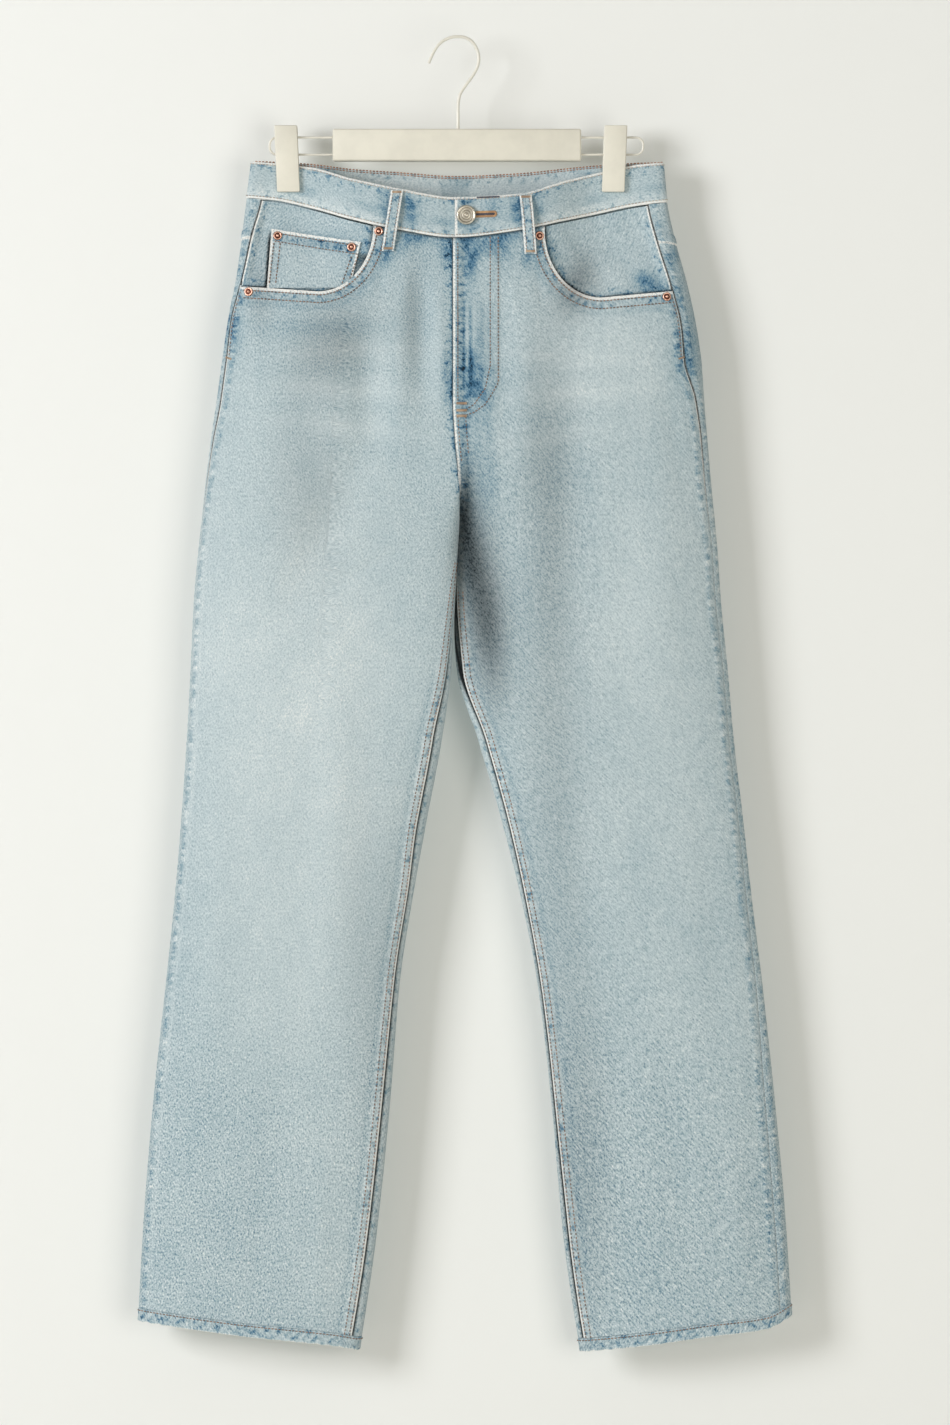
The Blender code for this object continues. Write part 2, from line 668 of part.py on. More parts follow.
def back_pocket(side):
    p = dict(zip(POCKET_COLUMNS, BACK_POCKET[side]))
    across = np.linspace(-1, 1, 11)[None, :]
    down = np.linspace(0, 1, 8)[:, None]
    width = p["top_width"] + (p["low_width"] - p["top_width"]) * down
    xs = p["centre_x"] + width / 2 * across
    low = p["side_height"] + p["point"] * (1 - np.abs(across))
    zs = p["top_z"] - low * down
    face, back = seat(("back",), BACK, xs, zs, SEAM_GAP + PATCH_WALL, SEAM_GAP)
    return wall(f"back_pocket_{side_name(side)}", face, back, DENIM)


# Fly: zip tape and shield behind the lapped front edge.

FLY_COLUMNS = ("name", "x_low", "x_high", "z_end", "depth", "wall")
FLY = (
    ("zip", 2, 30, -332, CLOTH + SEAM_GAP, 1.5),
    ("fly_shield", -16, 40, -338, CLOTH + SEAM_GAP + 1.8, 1.4),
)


def fly_piece(row, look):
    f = dict(zip(FLY_COLUMNS, row))
    across = np.linspace(f["x_low"], f["x_high"], 5)[None, :]
    down = np.linspace(0, 1, 7)[:, None]
    top = curve(WST["x"], WST["seam_front"], across) - 2
    zs = top + (f["z_end"] - top) * down
    xs = across + 0 * down
    face, back = seat(("front",), FRONT, xs, zs, -f["depth"], -f["depth"] - f["wall"])
    return wall(f["name"], face, back, look)


# Belt loops: narrow strips held at both ends and proud in the middle.

LOOP_COLUMNS = ("name", "face", "top_x", "end_x", "end_z")
LOOPS = (
    ("belt_loop_front_r", FRONT, -54.5, -63.0, -193.5),
    ("belt_loop_front_l", FRONT, 60.5, 65.0, -196.0),
    ("belt_loop_side_r", BACK, -118.0, -121.0, -170.0),
    ("belt_loop_side_l", BACK, 120.0, 123.0, -171.0),
    ("belt_loop_back", BACK, -3.0, -3.0, -179.5),
)
LOOP_WIDTH = 11.0
LOOP_BELOW_EDGE = 2.0
LOOP_THICK = 1.6
LOOP_PROUD = 2.6
LOOP_FOOT = 0.4


def belt_loop(row):
    f = dict(zip(LOOP_COLUMNS, row))
    across = np.array([-0.5, -0.17, 0.17, 0.5])[None, :] * LOOP_WIDTH
    down = np.linspace(0, 1, 11)[:, None]
    xs = f["top_x"] + (f["end_x"] - f["top_x"]) * down + across
    face_name = "front" if f["face"] == FRONT else "back"
    top = curve(WST["x"], WST[f"top_{face_name}"], f["top_x"] + across) - LOOP_BELOW_EDGE
    zs = top + (f["end_z"] - top) * down
    out = LOOP_FOOT + ease(down, 0.04, 0.26) * (1 - ease(down, 0.74, 0.96)) * LOOP_PROUD + 0 * xs
    proud, under = seat(("band", face_name), f["face"], xs, zs, out + LOOP_THICK, out)
    return wall(f["name"], proud, under, DENIM)


# Button and rivets: turned pieces seated on the cloth.

BUTTON_AT = (7.2, -161.0)
BUTTON_PROFILE = (
    (0.0, 1.6), (3.4, 1.7), (4.0, 2.1), (6.6, 2.1), (7.2, 2.6), (8.3, 2.4), (8.8, 1.5), (8.2, 0.4), (0.0, 0.4)
)
RIVET_PROFILE = (
    (0.0, 1.9), (1.0, 1.75), (1.7, 1.2), (2.2, 0.9), (3.4, 0.95), (4.1, 0.5), (3.9, 0.2), (0.0, 0.2)
)

# out is how far the cloth that carries the rivet stands off the panel's skin.
RIVET_COLUMNS = ("name", "x", "z", "out")
RIVETS = (
    ("rivet_hip_r", -71.0, -175.5, 0.0),
    ("rivet_seam_r", -188.0, -229.5, 0.0),
    ("rivet_hip_l", 73.0, -179.5, 0.0),
    ("rivet_seam_l", 187.5, -234.0, 0.0),
    ("rivet_coin_outer", -162.5, -178.5, -SEAM_GAP),
    ("rivet_coin_inner", -95.5, -189.5, -SEAM_GAP),
)


def turned(name, carrier, x, z, out, profile, sides, look):
    """A turned piece on the front, standing along the normal of the cloth that carries it."""
    radius = max(r for r, _ in profile)
    ring = np.linspace(0, 2 * math.pi, 8, endpoint=False)
    xs = np.append(x + radius * np.cos(ring), x)
    zs = np.append(z + radius * np.sin(ring), z)
    spots = skin_at((carrier,), FRONT, xs, zs)
    right, top = Vector(spots[0] - spots[4]), Vector(spots[2] - spots[6])
    axis = right.cross(top).normalized()
    centre = Vector(spots[:-1].mean(axis=0))
    proud = max((Vector(spot) - centre).dot(axis) for spot in spots)
    base = centre + axis * (proud + out)
    across = axis.orthogonal().normalized()
    up = axis.cross(across)
    form = bmesh.new()
    rings = []
    for r, h in profile:
        if r == 0:
            rings.append([form.verts.new((base + axis * h) * MM)])
            continue
        rings.append(
            [
                form.verts.new((base + axis * h + (across * math.cos(a) + up * math.sin(a)) * r) * MM)
                for a in np.linspace(0, 2 * math.pi, sides, endpoint=False)
            ]
        )
    for here, after in zip(rings, rings[1:]):
        for i in range(sides):
            n = (i + 1) % sides
            if len(here) == 1:
                form.faces.new((here[0], after[i], after[n]))
            elif len(after) == 1:
                form.faces.new((here[i], after[0], here[n]))
            else:
                form.faces.new((here[i], after[i], after[n], here[n]))
    return finish_mesh(name, form, look)


# Hanger: a flat bar with a wire hook, and at each end a wire loop that
# carries a spring clip.

BAR_LEFT, BAR_RIGHT = -113.0, 111.0
BAR_TOP, BAR_BOTTOM = -82.0, -111.0
BAR_DEPTH = 12.0
BAR_BEVEL = 1.6
HOOK_WIRE = 2.8
LOOP_WIRE = 2.0
WIRE_TOP, WIRE_LOW = -89.5, -105.0
WIRE_END = {WEARER_RIGHT: -170.0, WEARER_LEFT: 167.0}
WIRE_CORNER = 6.5
JAW_INNER, JAW_OUTER = BAND_OUT + PINCHED_HALF + 0.35, 8.4

# Centre of the hook's wire from its tip over the crown to the bar.
HOOK_ROUTE = (
    (-26.5, -22.5), (-21.6, -11.7), (-15.3, -3.6), (-7.0, 0.6), (-1.0, 1.4), (5.5, 0.9), (11.8, -2.4),
    (16.4, -8.5), (18.7, -17.0), (17.6, -25.5), (13.4, -33.5), (7.4, -41.8), (2.6, -49.0), (0.5, -55.5),
    (0.0, -63.0), (0.0, -72.0), (0.0, BAR_TOP + 0.3),
)


def block(name, low, high, bevel, look):
    """A box with rounded edges."""
    form = bmesh.new()
    bmesh.ops.create_cube(form, size=1)
    for v in form.verts:
        v.co = Vector(low[i] + (v.co[i] + 0.5) * (high[i] - low[i]) for i in range(3)) * MM
    bmesh.ops.bevel(form, geom=form.edges[:], offset=bevel * MM, segments=2, profile=0.5, affect="EDGES")
    return finish_mesh(name, form, look)


def rod(name, route, thickness, look):
    """A round wire along a route in the XZ plane."""
    line = bpy.data.curves.new(name, "CURVE")
    line.dimensions = "3D"
    line.bevel_depth = thickness / 2 * MM
    line.bevel_resolution = 2
    line.use_fill_caps = True
    spline = line.splines.new("POLY")
    spline.points.add(len(route) - 1)
    for point, (x, z) in zip(spline.points, route):
        point.co = (x * MM, 0, z * MM, 1)
    return add_object(name, line, look)


def smooth_route(points, steps):
    """Points of a Catmull-Rom curve through the given ones."""
    pts = [np.array(p, float) for p in points]
    pts = [2 * pts[0] - pts[1], *pts, 2 * pts[-1] - pts[-2]]
    out = []
    for a, b, c, d in zip(pts, pts[1:], pts[2:], pts[3:]):
        bend, twist = 2 * a - 5 * b + 4 * c - d, 3 * b - a - 3 * c + d
        for t in np.linspace(0, 1, steps, endpoint=False):
            out.append(tuple((2 * b + (c - a) * t + bend * t**2 + twist * t**3) / 2))
    return out + [tuple(pts[-2])]


def wire_route(side):
    """The loop from the bar's end out round the clip and back."""
    start = (BAR_LEFT if side == WEARER_RIGHT else BAR_RIGHT) + side * 0.3
    end = WIRE_END[side]
    upper = []
    for a in np.linspace(0, math.pi / 2, 5):
        inset, drop = WIRE_CORNER * (1 - math.sin(a)), WIRE_CORNER * (1 - math.cos(a))
        upper.append((end - side * inset, WIRE_TOP - drop))
    lower = [(x, WIRE_TOP + WIRE_LOW - z) for x, z in upper[::-1]]
    return [(start, WIRE_TOP), *upper, *lower, (start, WIRE_LOW)]


def clip(side):
    """Both jaws and the spring block between the wires, as one piece."""
    x = CLIP_X[side]
    web_top = WIRE_TOP - LOOP_WIRE / 2 - SEAM_GAP
    web_low = WIRE_LOW + LOOP_WIRE / 2 + SEAM_GAP
    outline_yz = (
        (-JAW_OUTER, CLIP_TOP), (-JAW_INNER, CLIP_TOP), (-JAW_INNER, web_top), (JAW_INNER, web_top),
        (JAW_INNER, CLIP_TOP), (JAW_OUTER, CLIP_TOP), (JAW_OUTER, CLIP_BOTTOM), (JAW_INNER, CLIP_BOTTOM),
        (JAW_INNER, web_low), (-JAW_INNER, web_low), (-JAW_INNER, CLIP_BOTTOM), (-JAW_OUTER, CLIP_BOTTOM),
    )
    form = bmesh.new()
    left = [form.verts.new(((x - CLIP_HALF_WIDTH) * MM, y * MM, z * MM)) for y, z in outline_yz]
    right = [form.verts.new(((x + CLIP_HALF_WIDTH) * MM, y * MM, z * MM)) for y, z in outline_yz]
    form.faces.new(left)
    form.faces.new(right[::-1])
    for i in range(len(left)):
        n = (i + 1) % len(left)
        form.faces.new((left[i], right[i], right[n], left[n]))
    form.edges.ensure_lookup_table()
    corners = [
        e for e in form.edges if all(abs(abs(v.co.y) - JAW_OUTER * MM) < 1e-6 for v in e.verts)
        or abs(e.verts[0].co.z - e.verts[1].co.z) < 1e-6 and abs(e.verts[0].co.x - e.verts[1].co.x) < 1e-6
        and abs(e.verts[0].co.y - e.verts[1].co.y) < (JAW_OUTER - JAW_INNER + 0.1) * MM
    ]
    bmesh.ops.bevel(form, geom=corners, offset=1.0 * MM, segments=2, profile=0.5, affect="EDGES")
    return finish_mesh(f"clip_{side_name(side)}", form, HANGER_PAINT)


def build():
    waistband()
    for side in (WEARER_RIGHT, WEARER_LEFT):
        open_pocket(front_panel(side), side)
        back_panel(side)
        yoke(side)
        hem(side)
        pocket_facing(side)
        back_pocket(side)
        rod(f"hanger_wire_{side_name(side)}", wire_route(side), LOOP_WIRE, WIRE_PAINT)
        clip(side)
    coin_pocket()
    for row, look in zip(FLY, (ZIP_TAPE, DENIM_INSIDE)):
        fly_piece(row, look)
    for row in LOOPS:
        belt_loop(row)
    turned("button", "band", *BUTTON_AT, 0.0, BUTTON_PROFILE, 24, AGED_METAL)
    for row in RIVETS:
        r = dict(zip(RIVET_COLUMNS, row))
        turned(r["name"], "front", r["x"], r["z"], r["out"], RIVET_PROFILE, 12, COPPER)
    bar_low, bar_high = (BAR_LEFT, -BAR_DEPTH / 2, BAR_BOTTOM), (BAR_RIGHT, BAR_DEPTH / 2, BAR_TOP)
    block("hanger_bar", bar_low, bar_high, BAR_BEVEL, HANGER_PAINT)
    rod("hanger_hook", smooth_route(HOOK_ROUTE, 3), HOOK_WIRE, WIRE_PAINT)


build()
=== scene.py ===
"""Light-wash boyfriend jeans hung from a clip hanger: the looks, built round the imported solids.

Lengths in the tables are millimetres, as in the part's own tables; meshes are metres.
The front faces -Y and +X is the viewer's right. Names ending in _r and _l are the
wearer's right (-X) and left (+X).
"""

import math

import bmesh
import bpy
import numpy as np
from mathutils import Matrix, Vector


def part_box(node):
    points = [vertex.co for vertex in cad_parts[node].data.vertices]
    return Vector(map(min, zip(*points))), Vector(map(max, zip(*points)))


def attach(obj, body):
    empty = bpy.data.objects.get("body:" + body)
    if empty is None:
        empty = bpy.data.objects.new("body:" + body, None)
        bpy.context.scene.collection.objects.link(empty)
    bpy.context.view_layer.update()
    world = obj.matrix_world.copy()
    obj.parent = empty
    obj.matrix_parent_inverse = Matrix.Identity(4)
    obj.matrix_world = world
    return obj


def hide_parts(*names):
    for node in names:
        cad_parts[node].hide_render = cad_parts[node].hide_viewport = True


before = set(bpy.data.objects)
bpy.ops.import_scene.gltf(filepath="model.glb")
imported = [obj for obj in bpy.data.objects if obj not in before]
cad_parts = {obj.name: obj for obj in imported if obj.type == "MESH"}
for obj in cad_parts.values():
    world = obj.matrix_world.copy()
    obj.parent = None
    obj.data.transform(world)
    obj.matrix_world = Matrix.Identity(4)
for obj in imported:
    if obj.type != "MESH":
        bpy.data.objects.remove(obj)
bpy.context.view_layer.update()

MM = 0.001
FRONT, BACK = -1, 1
WEARER_RIGHT, WEARER_LEFT = -1, 1
SIDES = (WEARER_RIGHT, WEARER_LEFT)

# The cloth's form: the same sizes as the solids have.
SEAM_GAP = 0.3
CLOTH = 1.3
BAND_OUT, BAND_WALL = 0.5, 2.6
HEM_OUT, HEM_WALL, HEM_HEIGHT = 0.4, 2.2, 12.0
BAND_TOP, WAIST_SEAM = -112.0, -148.0
CLEFT_FRONT, CLEFT_BACK, CROTCH = -384.0, -408.0, -462.0
HEM_LINE = -1165.0
HEM_SEAM = HEM_LINE + HEM_HEIGHT
SAG_END = -330.0
HEM_SLANT_START = -900.0
CLIP_X = {WEARER_RIGHT: -154.0, WEARER_LEFT: 141.0}
CLIP_HALF_WIDTH = 10.3
CLIP_BOTTOM = -139.0
PINCHED_HALF = 3.2
PINCH_SPREAD_X, PINCH_SPREAD_Z = 38.0, 70.0
OUTER_ROUND = 2.2

ROUND_COLUMNS = ("z", "inner_r", "inner_l")
ROUND = ((-462, 4.6, 1.8), (-560, 4.4, 1.65), (-620, 3.8, 1.8), (-700, 2.8, 1.8))

OUTLINE_COLUMNS = (
    "z", "outer_r", "inner_r", "inner_l", "outer_l", "side_r", "side_l", "inseam_r", "inseam_l", "depth"
)
OUTLINE = (
    (-112, -186, -3, -3, 185, 15, 19, 0, 0, 21),
    (-148, -190.5, -3, -3, 188.5, 14, 18, 0, 0, 22),
    (-183, -195, -3, -3, 196, 9, 17, 0, 0, 23),
    (-219, -200, -3, -3, 206, 6, 16, 0, 0, 24),
    (-255, -207, -3, -3, 214, 3, 14, 0, 0, 25),
    (-291, -212.5, -3, -3, 219.5, 4, 16, 0, 0, 25.5),
    (-327, -217.5, -3, -3, 222, 4, 8, 0, 0, 26),
    (-363, -222.5, -1, -1, 225, 2, 6, 0, 0, 26.5),
    (-399, -227, 2, 2, 228, 1, 6, 0, 0, 27),
    (-435, -231, 1, 1, 231.5, 0.5, 5.5, 0, 0, 28),
    (-462, -234, -1, -1, 234, 0.5, 5, 0, 0, 28),
    (-507, -238, -3, -2, 237, 0.5, 5, 1, 1, 28),
    (-570, -241, -6, 0, 243, 0.5, 4, 4, 4, 27),
    (-633, -244.5, -14.5, 18, 248.5, 0.5, 4, 8, 7, 26),
    (-705, -249.5, -28, 39, 257, 0.5, 4.5, 8, 6, 25),
    (-777, -255.5, -41, 57, 265, 0.5, 5, 5, 4, 24),
    (-849, -263, -52, 71, 274, 0.5, 6, 5, 3, 23),
    (-957, -274.5, -61, 84, 285.5, 0.5, 9, 7, 3, 22),
    (-1065, -283, -73, 94.5, 295, 0.5, 10, 8, 5, 21),
    (-1184, -289.5, -91.5, 113, 302, 0.5, 10, 9, 5, 20),
)

WAIST_COLUMNS = ("x", "top_front", "seam_front", "top_back", "seam_back")
WAIST = (
    (-191, -111, -144, -111, -144),
    (-164, -113, -146.5, -112, -145.5),
    (-131, -117, -154, -114, -148),
    (-96, -127.5, -164.5, -117.5, -151.5),
    (-54, -136.5, -174, -120, -155),
    (-3, -144.5, -181, -123.5, -158.5),
    (55, -141.5, -174.5, -121, -155),
    (96, -129.5, -165.5, -117.5, -151.5),
    (129, -121, -158, -115, -149),
    (160, -114.5, -151.5, -113, -147),
    (189, -112, -148, -112, -148),
)

HEM_COLUMNS = ("x", "z")
HEMS = {
    WEARER_RIGHT: ((-290, -1156), (-194, -1169), (-112, -1178), (-91, -1182)),
    WEARER_LEFT: ((112, -1184), (166, -1178), (226, -1169.5), (278, -1163), (302, -1151)),
}

# The largest folds, as in the solids, then the soft creases.
FOLD_COLUMNS = ("face", "x_top", "z_top", "x_end", "z_end", "half_width", "depth")
FOLDS = (
    (FRONT, -34, -178, -30, -345, 11, 4.0),
    (FRONT, -18, -190, -14, -340, 9, -2.5),
    (FRONT, -58, -205, -50, -400, 12, -2.0),
    (FRONT, -84, -238, -78, -375, 15, 4.5),
    (FRONT, -114, -245, -110, -400, 20, -2.5),
    (FRONT, -72, -345, -162, -535, 22, 3.5),
    (FRONT, 40, -195, 44, -370, 11, 2.0),
    (FRONT, 62, -205, 58, -430, 14, -2.5),
    (FRONT, 97, -262, 98, -660, 19, 4.0),
    (FRONT, 99, -590, 120, -1050, 19, 3.0),
    (FRONT, 184, -330, 180, -640, 24, -2.0),
    (FRONT, -105, -500, -118, -900, 18, -2.0),
    (FRONT, 52, -430, 24, -520, 13, 2.0),
    (FRONT, 13, -390, 15, -610, 9.5, 7.5),
    (BACK, -60, -200, -35, -400, 14, 4.0),
    (BACK, 62, -195, 40, -410, 14, 4.0),
    (BACK, -120, -330, -50, -470, 16, 3.5),
    (BACK, 118, -340, 52, -480, 16, 3.5),
)
CREASES = (
    (FRONT, -66, -182, -72, -226, 4, 1.3),
    (FRONT, -45, -184, -50, -232, 3.5, -1.1),
    (FRONT, 70, -190, 78, -235, 4, 1.4),
    (FRONT, 52, -192, 49, -240, 3.5, -1.0),
    (FRONT, -30, -196, -26, -250, 4, 1.2),
    (FRONT, 24, -205, 30, -300, 5, 1.0),
    (FRONT, -150, -440, -40, -405, 10, 1.2),
    (FRONT, -160, -520, -28, -450, 12, 1.1),
    (FRONT, 150, -455, 40, -410, 11, 1.3),
    (FRONT, 170, -540, 34, -470, 12, 1.2),
    (FRONT, 120, -640, 40, -560, 14, 1.2),
    (FRONT, -190, -300, -215, -420, 9, 1.1),
    (FRONT, 185, -300, 208, -430, 9, 1.2),
    (FRONT, -60, -620, -75, -900, 14, -1.3),
    (FRONT, -215, -640, -225, -980, 16, -1.2),
    (FRONT, 95, -700, 118, -1000, 14, -1.3),
    (FRONT, 225, -620, 240, -960, 16, 1.2),
    (FRONT, -150, -900, -185, -1150, 18, 1.4),
    (FRONT, 190, -880, 205, -1150, 18, 1.4),
    (FRONT, -120, -980, -128, -1160, 10, -1.0),
    (FRONT, 245, -960, 258, -1150, 11, -1.0),
    (BACK, -150, -430, -40, -400, 10, 1.4),
    (BACK, 150, -440, 40, -405, 10, 1.4),
    (BACK, -170, -500, -50, -450, 12, 1.5),
    (BACK, 165, -510, 52, -455, 12, 1.5),
    (BACK, -200, -760, -90, -740, 9, 1.3),
    (BACK, 210, -770, 100, -735, 9, 1.3),
    (BACK, -210, -830, -100, -800, 8, 1.1),
    (BACK, 215, -825, 110, -805, 8, 1.1),
    (BACK, -180, -560, -195, -1150, 20, -1.4),
    (BACK, 185, -560, 205, -1150, 20, -1.4),
)


def columns(table, names):
    """The table's columns as arrays, by name."""
    return {name: np.array([row[i] for row in table], float) for i, name in enumerate(names)}


def rows_of(table, names):
    """The table's rows as dictionaries."""
    return [dict(zip(names, row)) for row in table]


def curve(xs, ys, x):
    """A smooth curve through the points, flat beyond the ends and free of overshoot."""
    order = np.argsort(xs)
    xs, ys = xs[order], ys[order]
    step = np.diff(xs)
    slope = np.diff(ys) / step
    tangent = np.zeros_like(ys)
    tangent[1:-1] = np.where(
        slope[:-1] * slope[1:] > 0,
        2 * slope[:-1] * slope[1:] / (slope[:-1] + slope[1:] + 1e-12),
        0.0,
    )
    tangent[0], tangent[-1] = slope[0], slope[-1]
    x = np.clip(x, xs[0], xs[-1])
    i = np.clip(np.searchsorted(xs, x) - 1, 0, len(xs) - 2)
    t = (x - xs[i]) / step[i]
    rise = step[i] * (tangent[i] * t * (1 - t) ** 2 - tangent[i + 1] * t**2 * (1 - t))
    return ys[i] * (1 + 2 * t) * (1 - t) ** 2 + ys[i + 1] * t**2 * (3 - 2 * t) + rise


def ease(value, start, end):
    """0 at start, 1 at end, smooth between."""
    t = np.clip((value - start) / (end - start), 0, 1)
    return t * t * (3 - 2 * t)


def bell(value, centre, reach):
    """1 at the centre, falling smoothly to 0 on both sides of it."""
    return np.exp(-(((value - centre) / reach) ** 2))


OUT = columns(OUTLINE, OUTLINE_COLUMNS)
RND = columns(ROUND, ROUND_COLUMNS)
WST = columns(WAIST, WAIST_COLUMNS)
HEM = {side: columns(rows, HEM_COLUMNS) for side, rows in HEMS.items()}
ALL_FOLDS = rows_of(FOLDS + CREASES, FOLD_COLUMNS)


def side_name(side):
    return "r" if side == WEARER_RIGHT else "l"


def outline(name, side, z):
    """One column of the outline table at height z, for one side of the body."""
    if side is not None:
        name = f"{name}_{side_name(side)}"
    return curve(OUT["z"], OUT[name], np.asarray(z, float))


def inner_round(side, z):
    """How boxy the section's inner half is at height z."""
    return curve(RND["z"], RND[f"inner_{side_name(side)}"], np.asarray(z, float))


def opened(face, z):
    """How far the legs have parted at height z: 0 in the seat, 1 from the crotch down."""
    start = CLEFT_FRONT if face == FRONT else CLEFT_BACK
    return ease(z, start, CROTCH)


def half_width(side, z):
    return np.abs(outline("outer", side, z) - outline("inner", side, z)) / 2


def seam_angle(side, z):
    """Angle of the side seam, which sits a little way round on the front."""
    share = np.clip(1 - outline("side", side, z) / half_width(side, z), -1, 1)
    return np.arccos(share ** (OUTER_ROUND / 2))


def inseam_angle(side, z):
    """Angle from the inner edge round to the inseam on the front."""
    share = np.clip(1 - outline("inseam", side, z) / half_width(side, z), -1, 1)
    return np.arccos(share ** (inner_round(side, z) / 2))


def pinch(side, x, z):
    """1 between the clip's jaws, fading to 0 away from them."""
    aside = np.maximum(np.abs(x - CLIP_X[side]) - CLIP_HALF_WIDTH - 2, 0)
    below = np.maximum(CLIP_BOTTOM - 4 - z, 0)
    return np.exp(-((aside / PINCH_SPREAD_X) ** 2) - (below / PINCH_SPREAD_Z) ** 2)


def folds(face, x, z):
    """Depth of the folds and creases at a place, positive inwards."""
    total = np.zeros(np.broadcast(x, z).shape)
    for fold in ALL_FOLDS:
        if fold["face"] != face:
            continue
        along = (z - fold["z_top"]) / (fold["z_end"] - fold["z_top"])
        centre = fold["x_top"] + (fold["x_end"] - fold["x_top"]) * along
        fade = np.sin(np.pi * np.clip(along, 0, 1)) ** 0.8
        total += fold["depth"] * fade * bell(x, centre, fold["half_width"])
    return total


def lift(face, x, z):
    """How far the level of the cloth is moved by the sagging waist and the slanted hem."""
    name = "front" if face == FRONT else "back"
    seam = curve(WST["x"], WST[f"seam_{name}"], x) - WAIST_SEAM
    top = curve(WST["x"], WST[f"top_{name}"], x) - BAND_TOP
    waist = np.where(z > WAIST_SEAM, seam + (top - seam) * (z - WAIST_SEAM) / (BAND_TOP - WAIST_SEAM), seam)
    waist = waist * (1 - ease(z, WAIST_SEAM, SAG_END))
    right = curve(HEM[WEARER_RIGHT]["x"], HEM[WEARER_RIGHT]["z"], x)
    left = curve(HEM[WEARER_LEFT]["x"], HEM[WEARER_LEFT]["z"], x)
    return waist + (np.where(x < 0, right, left) - HEM_LINE) * ease(z, HEM_SLANT_START, HEM_LINE)


def on_cloth(side, face, angle, z):
    """Points on the outer surface of the cloth: angle 0 is the outer edge, pi the inner one."""
    angle, z = np.broadcast_arrays(np.asarray(angle, float), np.asarray(z, float))
    round_outside = angle < 0
    round_inside = angle > math.pi
    turned = np.where(round_outside | round_inside, -face, face)
    angle = np.where(round_outside, -angle, np.where(round_inside, 2 * math.pi - angle, angle))
    outer, inner = outline("outer", side, z), outline("inner", side, z)
    inner = inner + side * SEAM_GAP / 2
    middle, half = (outer + inner) / 2, np.abs(outer - inner) / 2
    cosine, sine = np.cos(angle), np.abs(np.sin(angle))
    toward_outer = cosine >= 0
    power = np.where(toward_outer, OUTER_ROUND, inner_round(side, z))
    x = middle + side * half * np.sign(cosine) * np.abs(cosine) ** (2 / power)
    arch = sine ** (2 / power)
    parted = np.where(turned == FRONT, opened(FRONT, z), opened(BACK, z))
    arch = np.where(toward_outer, arch, 1 - parted + parted * arch)
    squeezed = pinch(side, x, z)
    cap = np.where(toward_outer, sine ** (2 / 10), 1.0)
    depth = outline("depth", None, z)
    fold = np.where(turned == FRONT, folds(FRONT, x, z), folds(BACK, x, z))
    y = depth * arch - fold * np.minimum(arch * 1.2, 1) ** 2
    y = y * (1 - squeezed) + PINCHED_HALF * cap * squeezed
    level = np.where(turned == FRONT, lift(FRONT, x, z), lift(BACK, x, z))
    return np.stack([x, turned * y, z + level], axis=-1)


def normals(side, face, angle, z):
    """Unit outward normals of the cloth."""
    turn, rise = 0.04, 1.2
    joined = opened(face, z) < 1
    before = angle - turn
    after = np.where(joined, np.minimum(angle + turn, math.pi), angle + turn)
    across = on_cloth(side, face, after, z) - on_cloth(side, face, before, z)
    along = on_cloth(side, face, angle, z + rise) - on_cloth(side, face, angle, z - rise)
    normal = np.cross(across, along) * side * face
    return normal / np.linalg.norm(normal, axis=-1, keepdims=True)


def cloth(side, face, angle, z, out=0.0):
    """Points moved off the cloth's surface by out, inwards when negative."""
    angle, z = np.broadcast_arrays(np.asarray(angle, float), np.asarray(z, float))
    out = np.broadcast_to(np.asarray(out, float), angle.shape)
    return on_cloth(side, face, angle, z) + normals(side, face, angle, z) * out[..., None]


def angle_at(side, x, z):
    """Angle of the point of a section that lies at x."""
    outer, inner = outline("outer", side, z), outline("inner", side, z)
    middle, half = (outer + inner) / 2, np.abs(outer - inner) / 2
    t = np.clip(side * (x - middle) / half, -1, 1)
    power = np.where(t >= 0, OUTER_ROUND, inner_round(side, z))
    return np.arccos(np.sign(t) * np.abs(t) ** (power / 2))


def level_of(face, x, z):
    """The section height whose cloth lies at the true height z."""
    level = np.asarray(z, float)
    for _ in range(10):
        level = z - lift(face, x, level)
    return level


CENTRE_X = -3.0


def place(face, x, z, out=0.0):
    """Points over a true x and z on the front or the back, and the normals there."""
    x, z, out = np.broadcast_arrays(np.asarray(x, float), np.asarray(z, float), np.asarray(out, float))
    level = level_of(face, x, z)
    spots, normal = np.empty(x.shape + (3,)), np.empty(x.shape + (3,))
    for side in SIDES:
        here = (x < CENTRE_X) if side == WEARER_RIGHT else (x >= CENTRE_X)
        if here.any():
            angle = angle_at(side, x[here], level[here])
            normal[here] = normals(side, face, angle, level[here])
            spots[here] = on_cloth(side, face, angle, level[here]) + normal[here] * out[here][:, None]
    return spots, normal


def ripple(along, period, phase):
    """An uneven wave along a seam, from -1 to 1."""
    wave = np.sin(2 * np.pi * along / period + phase + 1.3 * np.sin(along / (period * 1.9) + phase * 3))
    swell = 0.65 + 0.35 * np.sin(along / (period * 2.7) + phase * 5)
    return wave * swell


